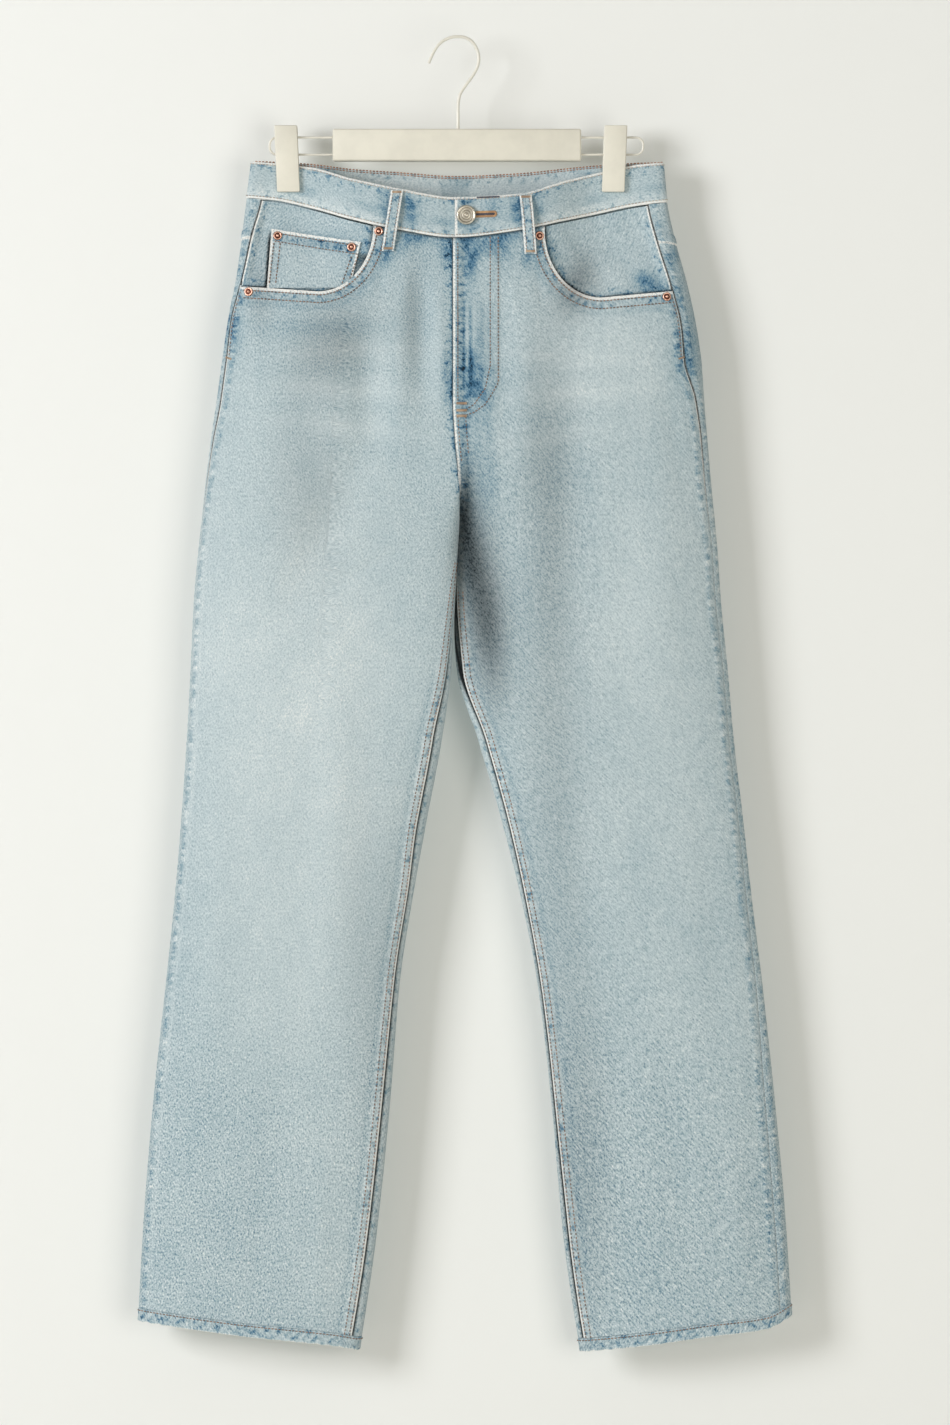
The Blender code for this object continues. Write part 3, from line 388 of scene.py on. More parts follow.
# Colour fields: gaussian patches of fading and of unfaded indigo.
PATCH_COLUMNS = ("face", "x", "z", "reach_x", "reach_z", "tilt", "amount")
FADES = (
    (FRONT, -140, -640, 110, 330, 0.0, 0.40),
    (FRONT, -110, -1080, 40, 120, 0.0, 0.35),
    (FRONT, -118, -590, 82, 200, 0.0, 0.60),
    (FRONT, 135, -590, 78, 190, 0.0, 0.40),
    (FRONT, -150, -850, 70, 130, 0.0, 0.22),
    (FRONT, 170, -850, 70, 130, 0.0, 0.16),
    (FRONT, -110, -320, 95, 60, 0.0, 0.16),
    (FRONT, 118, -285, 66, 75, 0.0, 0.66),
    (FRONT, 206, -520, 40, 240, 0.0, 0.40),
    (FRONT, -215, -520, 34, 260, 0.0, 0.34),
    (FRONT, 250, -900, 36, 200, 0.0, 0.25),
    (FRONT, -70, -300, 9, 70, 0.0, 0.30),
    (FRONT, -18, -300, 6, 80, 0.0, 0.30),
    (FRONT, 150, -460, 26, 120, 0.0, 0.22),
    (FRONT, -95, -283, 70, 5, 0.05, 0.30),
    (FRONT, -100, -318, 75, 6, -0.06, 0.30),
    (FRONT, -90, -352, 70, 6, -0.10, 0.28),
    (FRONT, -105, -334, 65, 5, -0.02, -0.22),
    (FRONT, -95, -300, 65, 5, 0.0, -0.20),
    (FRONT, -90, -372, 60, 7, -0.12, -0.20),
    (FRONT, 95, -288, 62, 5, -0.05, 0.28),
    (FRONT, 100, -322, 66, 6, 0.06, 0.32),
    (FRONT, 85, -362, 60, 7, 0.12, 0.26),
    (FRONT, 95, -305, 60, 5, 0.0, -0.20),
    (FRONT, 90, -342, 60, 6, 0.08, -0.22),
    (BACK, -105, -330, 80, 95, 0.0, 0.55),
    (BACK, 105, -330, 80, 95, 0.0, 0.55),
    (BACK, -140, -640, 75, 190, 0.0, 0.40),
    (BACK, 145, -640, 75, 190, 0.0, 0.40),
    (BACK, -160, -950, 70, 150, 0.0, 0.20),
    (BACK, 175, -950, 70, 150, 0.0, 0.20),
)
DEEPS = (
    (FRONT, 11, -200, 7, 20, 0.0, 1.05),
    (FRONT, 24, -188, 13, 10, 0.2, 0.65),
    (FRONT, 42, -190, 10, 14, 0.0, 0.60),
    (FRONT, 62, -200, 5, 11, 0.0, 0.80),
    (FRONT, 12, -300, 8, 24, 0.0, 1.15),
    (FRONT, 24, -318, 13, 18, 0.4, 0.60),
    (FRONT, -10, -192, 7, 17, -0.5, 0.80),
    (FRONT, -9, -306, 7, 26, 0.0, 0.65),
    (FRONT, -48, -186, 16, 10, 0.4, 0.55),
    (FRONT, -66, -196, 7, 12, 0.0, 0.60),
    (FRONT, -112, -186, 30, 9, -0.2, 0.45),
    (FRONT, 171, -221, 13, 9, -0.2, 1.10),
    (FRONT, 193, -196, 8, 9, 0.0, 0.60),
    (FRONT, -203, -263, 8, 22, 0.0, 0.80),
    (FRONT, -196, -215, 8, 20, 0.0, 0.45),
    (FRONT, 204, -283, 12, 30, 0.0, 0.85),
    (FRONT, 196, -232, 9, 20, 0.0, 0.50),
    (FRONT, 30, -153, 7, 10, 0.0, 0.70),
    (FRONT, 55, -158, 5, 13, 0.0, 0.80),
    (FRONT, -41, -156, 7, 13, 0.0, 0.80),
    (FRONT, -66, -154, 6, 14, 0.0, 0.55),
    (FRONT, 6, -146, 8, 6, 0.0, 0.80),
    (FRONT, 14, -172, 16, 5, 0.0, 0.55),
    (FRONT, 78, -194, 12, 12, 0.0, 0.40),
    (FRONT, -120, -262, 60, 8, 0.0, 0.35),
    (BACK, -3, -230, 12, 60, 0.0, 0.35),
    (BACK, -3, -440, 20, 60, 0.0, 0.40),
    (BACK, -200, -262, 12, 30, 0.0, 0.60),
    (BACK, 204, -270, 12, 30, 0.0, 0.60),
)
# Grey shade of the soft drape, and the shadow that falls on the wearer's left leg in the cleft.
SHADES = (
    (FRONT, -112, -276, 36, 40, 0.3, 0.34),
    (FRONT, -135, -400, 34, 90, 0.0, 0.20),
    (FRONT, -40, -250, 9, 60, 0.0, 0.22),
    (FRONT, -80, -830, 24, 160, 0.0, 0.16),
    (FRONT, 82, -380, 26, 150, 0.0, 0.20),
    (FRONT, 86, -640, 34, 280, 0.0, 0.17),
    (FRONT, 112, -1010, 30, 170, 0.0, 0.20),
    (FRONT, 108, -222, 18, 26, 0.6, 0.50),
    (FRONT, -178, -225, 12, 40, 0.0, 0.25),
)
CLEFT_SHADES = (
    (FRONT, 5, -416, 10, 34, 0.0, 0.60),
    (FRONT, 9, -464, 19, 50, 0.0, 0.82),
    (FRONT, 26, -524, 18, 52, 0.0, 0.66),
    (FRONT, 34, -576, 15, 44, 0.0, 0.22),
)
FADE_ROWS = rows_of(FADES, PATCH_COLUMNS)
DEEP_ROWS = rows_of(DEEPS, PATCH_COLUMNS)
SHADE_ROWS = rows_of(SHADES, PATCH_COLUMNS)
CLEFT_ROWS = rows_of(CLEFT_SHADES, PATCH_COLUMNS)


def patches(rows, spots):
    """Sum of the patches at points of the cloth."""
    x, y, z = spots[..., 0], spots[..., 1], spots[..., 2]
    total = np.zeros(x.shape)
    for p in rows:
        down = z - p["z"] - p["tilt"] * (x - p["x"])
        over = np.exp(-(((x - p["x"]) / p["reach_x"]) ** 2) - (down / p["reach_z"]) ** 2)
        total += p["amount"] * over * (y * p["face"] > -4)
    return total


# Mesh making: closed shells from grids, with the cloth's own coordinates and colour fields.

FAR = 60.0


def quads(index):
    """Corner numbers of the cells of a grid of numbers."""
    corners = (index[:-1, :-1], index[:-1, 1:], index[1:, 1:], index[1:, :-1])
    return np.stack(corners, axis=-1).reshape(-1, 4)


def clipped(cells, value):
    """The cells where value is positive, those on its edge cut along it, and the cut points."""
    if value is None:
        return cells.tolist(), []
    value = value.ravel()
    inside = value[cells] > 0
    kept = cells[inside.all(axis=1)].tolist()
    cuts, made = [], {}
    for cell in cells[inside.any(axis=1) & ~inside.all(axis=1)].tolist():
        loop = []
        for a, b in zip(cell, cell[1:] + cell[:1]):
            if value[a] > 0:
                loop.append(a)
            if (value[a] > 0) != (value[b] > 0):
                key = (min(a, b), max(a, b))
                if key not in made:
                    made[key] = len(value) + len(cuts)
                    cuts.append((*key, value[key[0]] / (value[key[0]] - value[key[1]])))
                loop.append(made[key])
        if len(loop) > 2:
            kept.append(loop)
    return kept, cuts


def with_cuts(values, cuts):
    """Values at the grid's points, followed by those at the cut points."""
    flat = values.reshape(-1, values.shape[-1])
    if not cuts:
        return flat
    first, second, share = (np.array(part) for part in zip(*cuts))
    share = share[:, None]
    return np.concatenate([flat, flat[first] * (1 - share) + flat[second] * share])


def added(name, data):
    """A new object in the scene."""
    thing = bpy.data.objects.new(name, data)
    bpy.context.scene.collection.objects.link(thing)
    return thing


def stands_for(node):
    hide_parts(node)


def make_object(name, points, faces, looks, slots=None, smooth_angle=50):
    """A mesh object of points in millimetres."""
    mesh = bpy.data.meshes.new(name)
    mesh.from_pydata((np.asarray(points) * MM).tolist(), [], faces)
    for look in looks:
        mesh.materials.append(look)
    if slots is not None:
        mesh.polygons.foreach_set("material_index", slots)
    mesh.shade_smooth()
    mesh.set_sharp_from_angle(angle=math.radians(smooth_angle))
    thing = added(name, mesh)
    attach(thing, "root")
    return thing


def set_fields(thing, uv, fields):
    """Cloth coordinates in millimetres and the colour fields, one value a point."""
    mesh = thing.data
    layer = mesh.uv_layers.new(name="cloth")
    corner = np.empty(len(mesh.loops), int)
    mesh.loops.foreach_get("vertex_index", corner)
    layer.data.foreach_set("uv", (uv[corner] * MM).ravel())
    for name, values in fields.items():
        made = mesh.attributes.new(name, "FLOAT", "POINT")
        made.data.foreach_set("value", np.ascontiguousarray(values, dtype=np.float32))


def shell(name, outer, inner, uv, fields, looks, keep=None):
    """A closed shell between two grids. keep, where given, is positive on what stays."""
    rows, cols = outer.shape[:2]
    faces, cuts = clipped(quads(np.arange(rows * cols).reshape(rows, cols)), keep)
    used = np.unique(np.concatenate([np.array(face) for face in faces]))
    number = np.full(rows * cols + len(cuts), -1)
    number[used] = np.arange(len(used))
    out_points = with_cuts(outer, cuts)[used]
    in_points = with_cuts(inner, cuts)[used]
    uv_points = with_cuts(uv, cuts)[used]
    values = {key: with_cuts(field[..., None], cuts)[used, 0] for key, field in fields.items()}
    faces = [[int(number[i]) for i in face] for face in faces]
    sample = faces[:: max(len(faces) // 200, 1)]
    turned = 0.0
    for face in sample:
        a, b, c = (out_points[i] for i in face[:3])
        turned += np.dot(np.cross(b - a, c - a), out_points[face[0]] - in_points[face[0]])
    if turned < 0:
        faces = [face[::-1] for face in faces]
    size = len(used)
    edges = {(a, b) for face in faces for a, b in zip(face, face[1:] + face[:1])}
    rim = [(b, a, a + size, b + size) for a, b in edges if (b, a) not in edges]
    rim.sort()
    inside = [[i + size for i in face[::-1]] for face in faces]
    slots = [0] * (len(faces) + len(rim)) + [len(looks) - 1] * len(inside)
    points = np.concatenate([out_points, in_points])
    thing = make_object(name, points, faces + rim + inside, looks, slots)
    doubled = {key: np.concatenate([field, field]) for key, field in values.items()}
    set_fields(thing, np.concatenate([uv_points, uv_points]), doubled)
    return thing


def swept(name, sections, uv, fields, looks, closed=False, smooth_angle=60):
    """A solid from closed sections (stations by profile points), capped unless it closes on itself."""
    stations, around = sections.shape[:2]
    index = np.arange(stations * around).reshape(stations, around)
    index = np.concatenate([index, index[:, :1]], axis=1)
    if closed:
        index = np.concatenate([index, index[:1]], axis=0)
    cells = quads(index)
    points = sections.reshape(-1, 3)
    centre = np.repeat(sections.mean(axis=1), around, axis=0)
    a, b, c = points[cells[:, 0]], points[cells[:, 1]], points[cells[:, 2]]
    turned = np.einsum("ij,ij->i", np.cross(b - a, c - a), a - centre[cells[:, 0]]).sum()
    faces = cells.tolist() if turned > 0 else cells[:, ::-1].tolist()
    if not closed:
        first, last = list(range(around)), list(range((stations - 1) * around, stations * around))
        faces += [first[::-1], last] if turned < 0 else [first, last[::-1]]
    thing = make_object(name, points, faces, looks, smooth_angle=smooth_angle)
    if uv is not None:
        set_fields(thing, uv.reshape(-1, 2), {key: field.ravel() for key, field in fields.items()})
    return thing


def cut_size(grid):
    """Largest width of a grid of points, largest length down its grain, and area, in metres."""
    across, along = np.diff(grid, axis=1), np.diff(grid, axis=0)
    width = np.linalg.norm(across, axis=2).sum(axis=1).max()
    length = np.hypot(along[..., 1], along[..., 2]).sum(axis=0).max()
    cells = np.cross(across[1:] + across[:-1], along[:, 1:] + along[:, :-1]) / 4
    return width * MM, length * MM, np.linalg.norm(cells, axis=-1).sum() * MM**2


def hung(node):
    """Hides the solid of the node that a sheet of cloth stands for."""
    stands_for(node)


def declare(node, grid, keep=None):
    width, length, area = cut_size(grid)
    if keep is not None:
        area *= float((keep > 0).mean())
    hung(node)


# Materials.


class Graph:
    """Short ways to add nodes to one material."""

    def __init__(self, name):
        self.material = bpy.data.materials.new(name)
        self.material.use_nodes = True
        self.tree = self.material.node_tree
        self.shader = self.tree.nodes["Principled BSDF"]

    def set(self, socket, value):
        if isinstance(value, bpy.types.NodeSocket):
            self.tree.links.new(value, socket)
        else:
            socket.default_value = value

    def add(self, kind, out=0, settings=None, **inputs):
        node = self.tree.nodes.new(kind)
        for name, value in (settings or {}).items():
            setattr(node, name, value)
        for name, value in inputs.items():
            key = int(name[1:]) if name[0] == "i" and name[1:].isdigit() else name.replace("_", " ")
            self.set(node.inputs[key], value)
        return node.outputs[out]

    def math(self, operation, a, b=0.0, c=0.0, clamp=False):
        settings = {"operation": operation, "use_clamp": clamp}
        return self.add("ShaderNodeMath", settings=settings, i0=a, i1=b, i2=c)

    def field(self, name):
        return self.add("ShaderNodeAttribute", out="Fac", settings={"attribute_name": name})

    def total(self, first, *others):
        for other in others:
            first = self.math("ADD", first, other)
        return first

    def times(self, first, *others):
        for other in others:
            first = self.math("MULTIPLY", first, other)
        return first

    def noise(self, vector, scale, detail=2.0, rough=0.5):
        return self.add("ShaderNodeTexNoise", Vector=vector, Scale=scale, Detail=detail, Roughness=rough)

    def stretched(self, vector, scale, detail=2.0, rough=0.5):
        """Noise with its own scale across and down, in shares of a millimetre."""
        return self.noise(self.scaled(vector, (*scale, 1)), 1.0, detail, rough)

    def range(self, value, low, high, to_low=0.0, to_high=1.0):
        """Smooth step of the value from low..high to to_low..to_high."""
        return self.add(
            "ShaderNodeMapRange", settings={"interpolation_type": "SMOOTHSTEP"}, i0=value, i1=low, i2=high,
            i3=to_low, i4=to_high,
        )

    def ramp(self, value, stops):
        node = self.tree.nodes.new("ShaderNodeValToRGB")
        while len(node.color_ramp.elements) < len(stops):
            node.color_ramp.elements.new(0.5)
        for element, (position, colour) in zip(node.color_ramp.elements, stops):
            element.position = position
            element.color = (*colour, 1)
        self.set(node.inputs[0], value)
        return node.outputs[0]

    def mix(self, share, a, b):
        node = self.tree.nodes.new("ShaderNodeMix")
        node.data_type = "RGBA"
        self.set(node.inputs[0], share)
        self.set(node.inputs[6], a)
        self.set(node.inputs[7], b)
        return node.outputs[2]

    def scaled(self, vector, scale):
        return self.add("ShaderNodeMapping", Vector=vector, Scale=scale)

    def object_place(self):
        return self.tree.nodes.new("ShaderNodeTexCoord").outputs["Object"]

    def finish(self, height=None, bump=MM, **inputs):
        """Bumps the surface by a height, sets the shader's other inputs and gives the material."""
        if height is not None:
            raised = self.add("ShaderNodeBump", Height=height, Distance=bump, Strength=1.0)
            self.set(self.shader.inputs["Normal"], raised)
        for name, value in inputs.items():
            self.set(self.shader.inputs[name.replace("_", " ")], value)
        return self.material


def linear(red, green, blue):
    """A colour of the photograph's 0 to 255 scale in linear light."""
    found = []
    for value in (red, green, blue):
        value /= 255
        found.append(value / 12.92 if value <= 0.04045 else ((value + 0.055) / 1.055) ** 2.4)
    return tuple(found)


INDIGO_STOPS = (
    (0.00, linear(12, 30, 42)),
    (0.14, linear(44, 88, 118)),
    (0.28, linear(86, 128, 154)),
    (0.44, linear(138, 165, 177)),
    (0.60, linear(173, 191, 196)),
    (0.80, linear(206, 217, 218)),
    (1.00, linear(247, 246, 240)),
)


# The twill's ribs run down to the viewer's right: shares of a step across and down, and the pitch
# of the ribs that show from a step away and of the real ones.
TWILL_ACROSS, TWILL_DOWN = 0.79, 0.62
TWILL_PITCH, FINE_TWILL_PITCH = 2.4, 0.95
# Heights between which the weave gets rougher towards the hems.
SHIN_LEVELS = (-820.0, -1000.0)
WEAVE_TONE = 0.30
# Neutral dark that painted shade and the weave's pits mix towards.
PAINTED_SHADE_COLOUR = linear(16, 27, 31)


def denim_material(name, base):
    """Washed denim. Fields: edge and rail, distances to sewn edges and side seam; fade; a field of unfaded
    indigo with some painted shade; and a field of painted shade.
    """
    g = Graph(name)
    uv = g.add("ShaderNodeUVMap", settings={"uv_map": "cloth"})
    place_mm = g.scaled(uv, (1000, 1000, 1000))
    parts = g.tree.nodes.new("ShaderNodeSeparateXYZ")
    g.set(parts.inputs[0], place_mm)
    u, v = parts.outputs[0], parts.outputs[1]
    slant = g.total(g.times(u, TWILL_ACROSS), g.times(v, TWILL_DOWN))
    down_rib = g.math("SUBTRACT", g.times(u, TWILL_DOWN), g.times(v, TWILL_ACROSS))
    phase = g.math("MULTIPLY_ADD", g.noise(place_mm, 0.25), 2.2, slant)
    twill = g.math("SINE", g.times(phase, 2 * math.pi / TWILL_PITCH))
    fine_twill = g.math("SINE", g.times(slant, 2 * math.pi / FINE_TWILL_PITCH))
    on_ribs = g.add("ShaderNodeCombineXYZ", X=slant, Y=down_rib)
    slubs = g.math("SUBTRACT", g.stretched(on_ribs, (0.50, 0.15), 2.0, 0.7), 0.5)
    grain = g.math("SUBTRACT", g.stretched(place_mm, (0.62, 0.48), 2.0, 0.75), 0.5)
    yarns = g.math("SUBTRACT", g.stretched(place_mm, (1.3, 0.22), 3.0, 0.65), 0.5)
    mottle = g.stretched(place_mm, (0.11, 0.05), 4.0, 0.6)
    clouds = g.stretched(place_mm, (0.022, 0.012), 3.0, 0.55)

    # The weave, rougher on the shins and where little is faded. Ribs slant where u is positive.
    fade = g.field("fade")
    less_faded = g.range(fade, -0.2, 0.8, 1.2, 0.75)
    rough_weave = g.times(less_faded, WEAVE_TONE, g.range(v, *SHIN_LEVELS, 1.0, 1.45))
    slanting = g.range(u, -4.0, 4.0)
    ribs = g.times(twill, g.range(g.noise(place_mm, 0.14), 0.35, 0.65, 0.05, 0.16))
    streaks = g.times(slubs, g.math("MULTIPLY_ADD", slanting, 1.9, 0.5))
    plain = g.total(g.times(grain, 4.2), g.times(yarns, 2.0))
    plain = g.times(plain, g.math("MULTIPLY_ADD", slanting, -0.25, 1.0))
    woven = g.times(g.total(ribs, streaks, plain), rough_weave)

    # The tone along the indigo stops: wash, weave, unfaded places and some painted shade.
    cloudy = g.times(g.math("SUBTRACT", clouds, 0.5), 0.16)
    mottled = g.times(g.math("SUBTRACT", mottle, 0.5), 0.14)
    shade = g.total(base, g.times(fade, 0.16), cloudy, mottled, g.times(woven, 0.62))
    deep = g.times(g.field("deep"), g.math("MULTIPLY_ADD", g.range(mottle, 0.35, 0.62), 0.6, 0.4))
    shade = g.math("SUBTRACT", shade, g.times(deep, 0.42))

    # Beside sewn edges: blue between the stitches, and the ridge worn white.
    edge, rail = g.field("edge"), g.field("rail")
    near = g.stretched(place_mm, (0.16, 0.16), 3.0, 0.6)
    blue_zone = g.times(g.range(edge, 1.0, 3.0), g.range(edge, 13.0, 5.0))
    blue = g.times(blue_zone, g.range(near, 0.50, 0.66), g.range(rail, 13.0, 19.0, 0.14, 0.30))
    ridge = g.times(g.range(edge, 2.4, 1.3), g.range(grain, -0.14, 0.08, 0.62, 1.0))
    rail_zone = g.times(g.range(rail, 2.0, 4.5), g.range(rail, 10.5, 7.0))
    ladder = g.range(g.stretched(place_mm, (0.05, 0.17), 2.0, 0.6), 0.42, 0.6, -0.14, 0.10)
    shade = g.total(g.math("SUBTRACT", shade, blue), g.times(ridge, 0.46), g.times(rail_zone, ladder))

    # Painted shade: grey from the painted shade field (shadow in seam gaps, under the band, in pocket
    # mouths, in the cleft and the drape), and grey in the pits of the weave.
    pits = g.times(g.math("MINIMUM", woven, 0.05), -0.55)
    shaded = g.math("ADD", g.times(g.field("gap"), 0.95), pits, clamp=True)
    colour = g.mix(shaded, g.ramp(shade, INDIGO_STOPS), (*PAINTED_SHADE_COLOUR, 1))
    height = g.total(
        g.times(fine_twill, 0.03), g.times(yarns, 0.22), g.times(grain, 0.38), g.times(ribs, 0.25),
        g.times(mottle, 0.35),
    )
    return g.finish(
        height, Base_Color=colour, Roughness=0.92, Specular_IOR_Level=0.18, Sheen_Weight=0.12,
        Sheen_Roughness=0.6,
    )


def thread_material(name, light, dark):
    """Spun sewing thread, its colour worn unevenly along the row, with a painted highlight on its twist."""
    g = Graph(name)
    where = g.object_place()
    worn = g.noise(where, 120.0)
    twist = g.noise(where, 2600.0, 1.0)
    colour = g.mix(g.range(worn, 0.36, 0.64), (*linear(*dark), 1), (*linear(*light), 1))
    # Painted highlight: pale streaks on the raised twist, from the same noise as its bump.
    colour = g.mix(g.range(twist, 0.3, 0.7, 0.0, 0.12), colour, (*linear(232, 222, 204), 1))
    return g.finish(twist, 0.12 * MM, Base_Color=colour, Roughness=0.75)


def metal_material(name, bright, dull, grooved, roughness):
    """Satin metal, faintly tarnished in patches and darker where the groove field says."""
    g = Graph(name)
    where = g.object_place()
    tarnish = g.noise(where, 420.0, 4.0, 0.65)
    colour = g.mix(g.range(tarnish, 0.35, 0.70, 0.0, 0.8), (*linear(*bright), 1), (*linear(*dull), 1))
    colour = g.mix(g.field("groove"), colour, (*linear(*grooved), 1))
    rough = g.range(tarnish, 0.3, 0.7, roughness, roughness + 0.15)
    return g.finish(g.noise(where, 1500.0), 0.04 * MM, Base_Color=colour, Roughness=rough, Metallic=1.0)


def painted_material(name, colour, roughness, grain):
    """Cream moulded plastic or painted wire with a fine grain and faint rubbed patches."""
    g = Graph(name)
    where = g.object_place()
    rubbed = g.noise(where, 35.0, 4.0, 0.6)
    fresh = linear(*colour)
    warm = tuple(value * 0.93 for value in fresh)
    mixed = g.mix(g.range(rubbed, 0.35, 0.7), (*fresh, 1), (*warm, 1))
    rough = g.range(rubbed, 0.3, 0.7, roughness, roughness + 0.12)
    return g.finish(g.noise(where, grain, 3.0, 0.6), 0.10 * MM, Base_Color=mixed, Roughness=rough)


DENIM = denim_material("denim_washed", 0.615)
INSIDE = denim_material("denim_inside", 0.60)
THREAD = thread_material("thread_tan", (202, 176, 148), (160, 132, 108))
THREAD_DARK = thread_material("thread_brown", (152, 120, 102), (102, 80, 70))
THREAD_PALE = thread_material("thread_pale", (206, 198, 186), (164, 152, 144))
THREAD_ORANGE = thread_material("thread_orange", (210, 166, 118), (174, 130, 90))
THREAD_RUST = thread_material("thread_rust", (186, 136, 108), (140, 96, 76))
THREAD_NAVY_AND_SLOT_SHADE = thread_material("thread_navy_and_slot_shade", (62, 70, 92), (40, 46, 64))
COPPER = metal_material("rivet_copper_satin", (246, 202, 178), (214, 150, 124), (92, 40, 28), 0.26)
BRASS = metal_material("button_aged", (228, 222, 206), (196, 188, 168), (124, 104, 80), 0.30)
PLASTIC = painted_material("hanger_cream", (234, 229, 212), 0.42, 1400.0)
WIRE = painted_material("hanger_wire_ivory", (232, 228, 214), 0.30, 2200.0)
TAPE = thread_material("zip_tape_weave", (170, 160, 140), (120, 112, 98))

# Panels.

NEAR_SEAM = (0, 0.35, 0.8, 1.5, 2.6, 4.0, 5.4, 6.6, 7.4, 8.2, 9.4, 11.2, 13.8, 17.0, 20.8)
MIDDLE_COLUMNS = 44
ROW_PITCH = 2.7
ARC_STEPS = 140
YOKE_SIDE, YOKE_CENTRE = -183.0, -222.0


def arc_lengths(side, face, start, end, z):
    """For each row, the run from the start of the angle range, at evenly spaced shares of it."""
    share = np.linspace(0, 1, ARC_STEPS + 1)
    angles = start[:, None] + (end - start)[:, None] * share
    spots = on_cloth(side, face, angles, np.broadcast_to(z[:, None], angles.shape))
    steps = np.linalg.norm(np.diff(spots, axis=1), axis=2)
    return share, np.concatenate([np.zeros((len(z), 1)), np.cumsum(steps, axis=1)], axis=1)


def arc_shares(side, face, start, end, z):
    """For each row, shares of the angle range whose points keep set distances from both edges."""
    share, length = arc_lengths(side, face, start, end, z)
    near = np.array(NEAR_SEAM)
    middle = np.linspace(0, 1, MIDDLE_COLUMNS + 2)[1:-1]
    shares, distances = [], []
    for line in length:
        total = line[-1]
        within = near[-1] + (total - 2 * near[-1]) * middle
        spot = np.concatenate([near, within, total - near[::-1]])
        distances.append(spot)
        shares.append(np.interp(spot, line, share))
    return np.array(shares), np.array(distances), length[:, -1:]


def inseam_relief(d, z, phase):
    """Felled seam: two layers folded over, with small puckers between the stitches."""
    fold = 0.95 * ease(d, 0.0, 0.8) * ease(d, 12.0, 6.8)
    pucker = 0.26 * ripple(z, 6.4, phase) * bell(d, 5.0, 4.2)
    valley = -0.30 * bell(d, 8.6, 1.2)
    return fold + pucker + valley


def outseam_relief(d, z, phase):
    """Pressed-open seam: the turned edges print through beside it."""
    print_through = 0.42 * bell(d, 6.0, 2.4)
    pucker = 0.22 * ripple(z, 8.5, phase) * bell(d, 4.0, 5.0)
    return print_through + pucker - 0.35 * ease(d, 1.6, 0.0)


FLY_LAP = 1.6
FLY_LIFT = 1.55
FLY_END = -338.0


def fly_relief(side, d, z, height):
    """The lapped edge of the fly on the wearer's left, and the folds pressed beside it."""
    above = 1 - ease(height, FLY_END + 40, FLY_END - 25)
    if side == WEARER_LEFT:
        step = FLY_LIFT * ease(d, 9.0, 4.0)
        under = 0.5 * ease(d, 40.0, 36.0) * above
        pucker = 0.32 * ripple(z, 9.0, 0.7) * bell(d, 5.0, 4.0)
        return step + under + pucker
    return 0.25 * ripple(z, 10.0, 2.1) * bell(d, 8.0, 6.0)


def front_relief(side, d, to_inner, height):
    """How far a front panel stands off the plain cloth, by the distances from its two long edges."""
    leg = opened(FRONT, height) ** 2
    relief = outseam_relief(d, height, 1.0 + side) + leg * inseam_relief(to_inner, height, 2.0 + side)
    return relief + (1 - leg) * fly_relief(side, to_inner, height, height)


def mouth_relief(away):
    """The rolled edge of a pocket mouth and the dip behind its second row of stitches."""
    roll = 0.75 * ease(away, 5.5, 3.0) + 0.35 * ease(away, 12.5, 9.5)
    return roll - 0.25 * bell(away, 13.4, 1.5)


def base_fields(spots, edge, rail=FAR):
    """The cloth's colour fields: distances to its sewn edges and its side seam, and the patches of fading,
    of unfaded indigo and of painted shade.
    """
    return {
        "gap": patches(SHADE_ROWS, spots),
        "edge": np.minimum(edge, FAR),
        "rail": np.broadcast_to(np.minimum(rail, FAR), edge.shape),
        "fade": patches(FADE_ROWS, spots),
        "deep": patches(DEEP_ROWS, spots),
    }


# How much wider than a seam's worn ridge the rolled edge of a pocket is.
ROLLED = 0.6
# How far below the mouths' lower ends their rolled edge and its wear still count.
BELOW_MOUTH = 60.0
SCOOP_STEPS = 40
SCOOP_COLUMNS = ("centre_x", "top_z", "reach_x", "drop", "side_x", "side_z")
SCOOPS = {
    WEARER_RIGHT: dict(zip(SCOOP_COLUMNS, (-126, -170, 50, 59.5, -193.5, -224.5))),
    WEARER_LEFT: dict(zip(SCOOP_COLUMNS, (129, -175, -51, 60, 192, -229))),
}


def scoop_edge(side, grow=0.0):
    """The mouth's edge from the waist seam round to the side seam, grown outwards by grow."""
    s = SCOOPS[side]
    turn = np.linspace(0, math.pi / 2, SCOOP_STEPS)
    reach = s["reach_x"] - side * grow
    xs = s["centre_x"] + reach * np.cos(turn)
    zs = s["top_z"] - (s["drop"] + grow) * np.sin(turn)
    above = np.linspace(1, 0, 6)[:-1]
    lean = np.linspace(0, 1, 12)[1:]
    up_x = np.full(len(above), s["centre_x"] + reach)
    up_z = s["top_z"] + 16 * above
    out_x = s["centre_x"] + (s["side_x"] - s["centre_x"]) * lean
    out_z = zs[-1] + (s["side_z"] - s["top_z"] + s["drop"]) * lean
    return np.concatenate([up_x, xs, out_x]), np.concatenate([up_z, zs, out_z])


def distance_to(xs, zs, x, z):
    """Distance from points to a line of points, and how far along the line they are nearest."""
    best, along, walked = np.full(x.shape, 1e9), np.zeros(x.shape), 0.0
    for ax, az, bx, bz in zip(xs[:-1], zs[:-1], xs[1:], zs[1:]):
        run = max((bx - ax) ** 2 + (bz - az) ** 2, 1e-9)
        t = np.clip(((x - ax) * (bx - ax) + (z - az) * (bz - az)) / run, 0, 1)
        away = np.hypot(x - ax - t * (bx - ax), z - az - t * (bz - az))
        along = np.where(away < best, walked + t * math.sqrt(run), along)
        best = np.minimum(best, away)
        walked += math.sqrt(run)
    return best, along


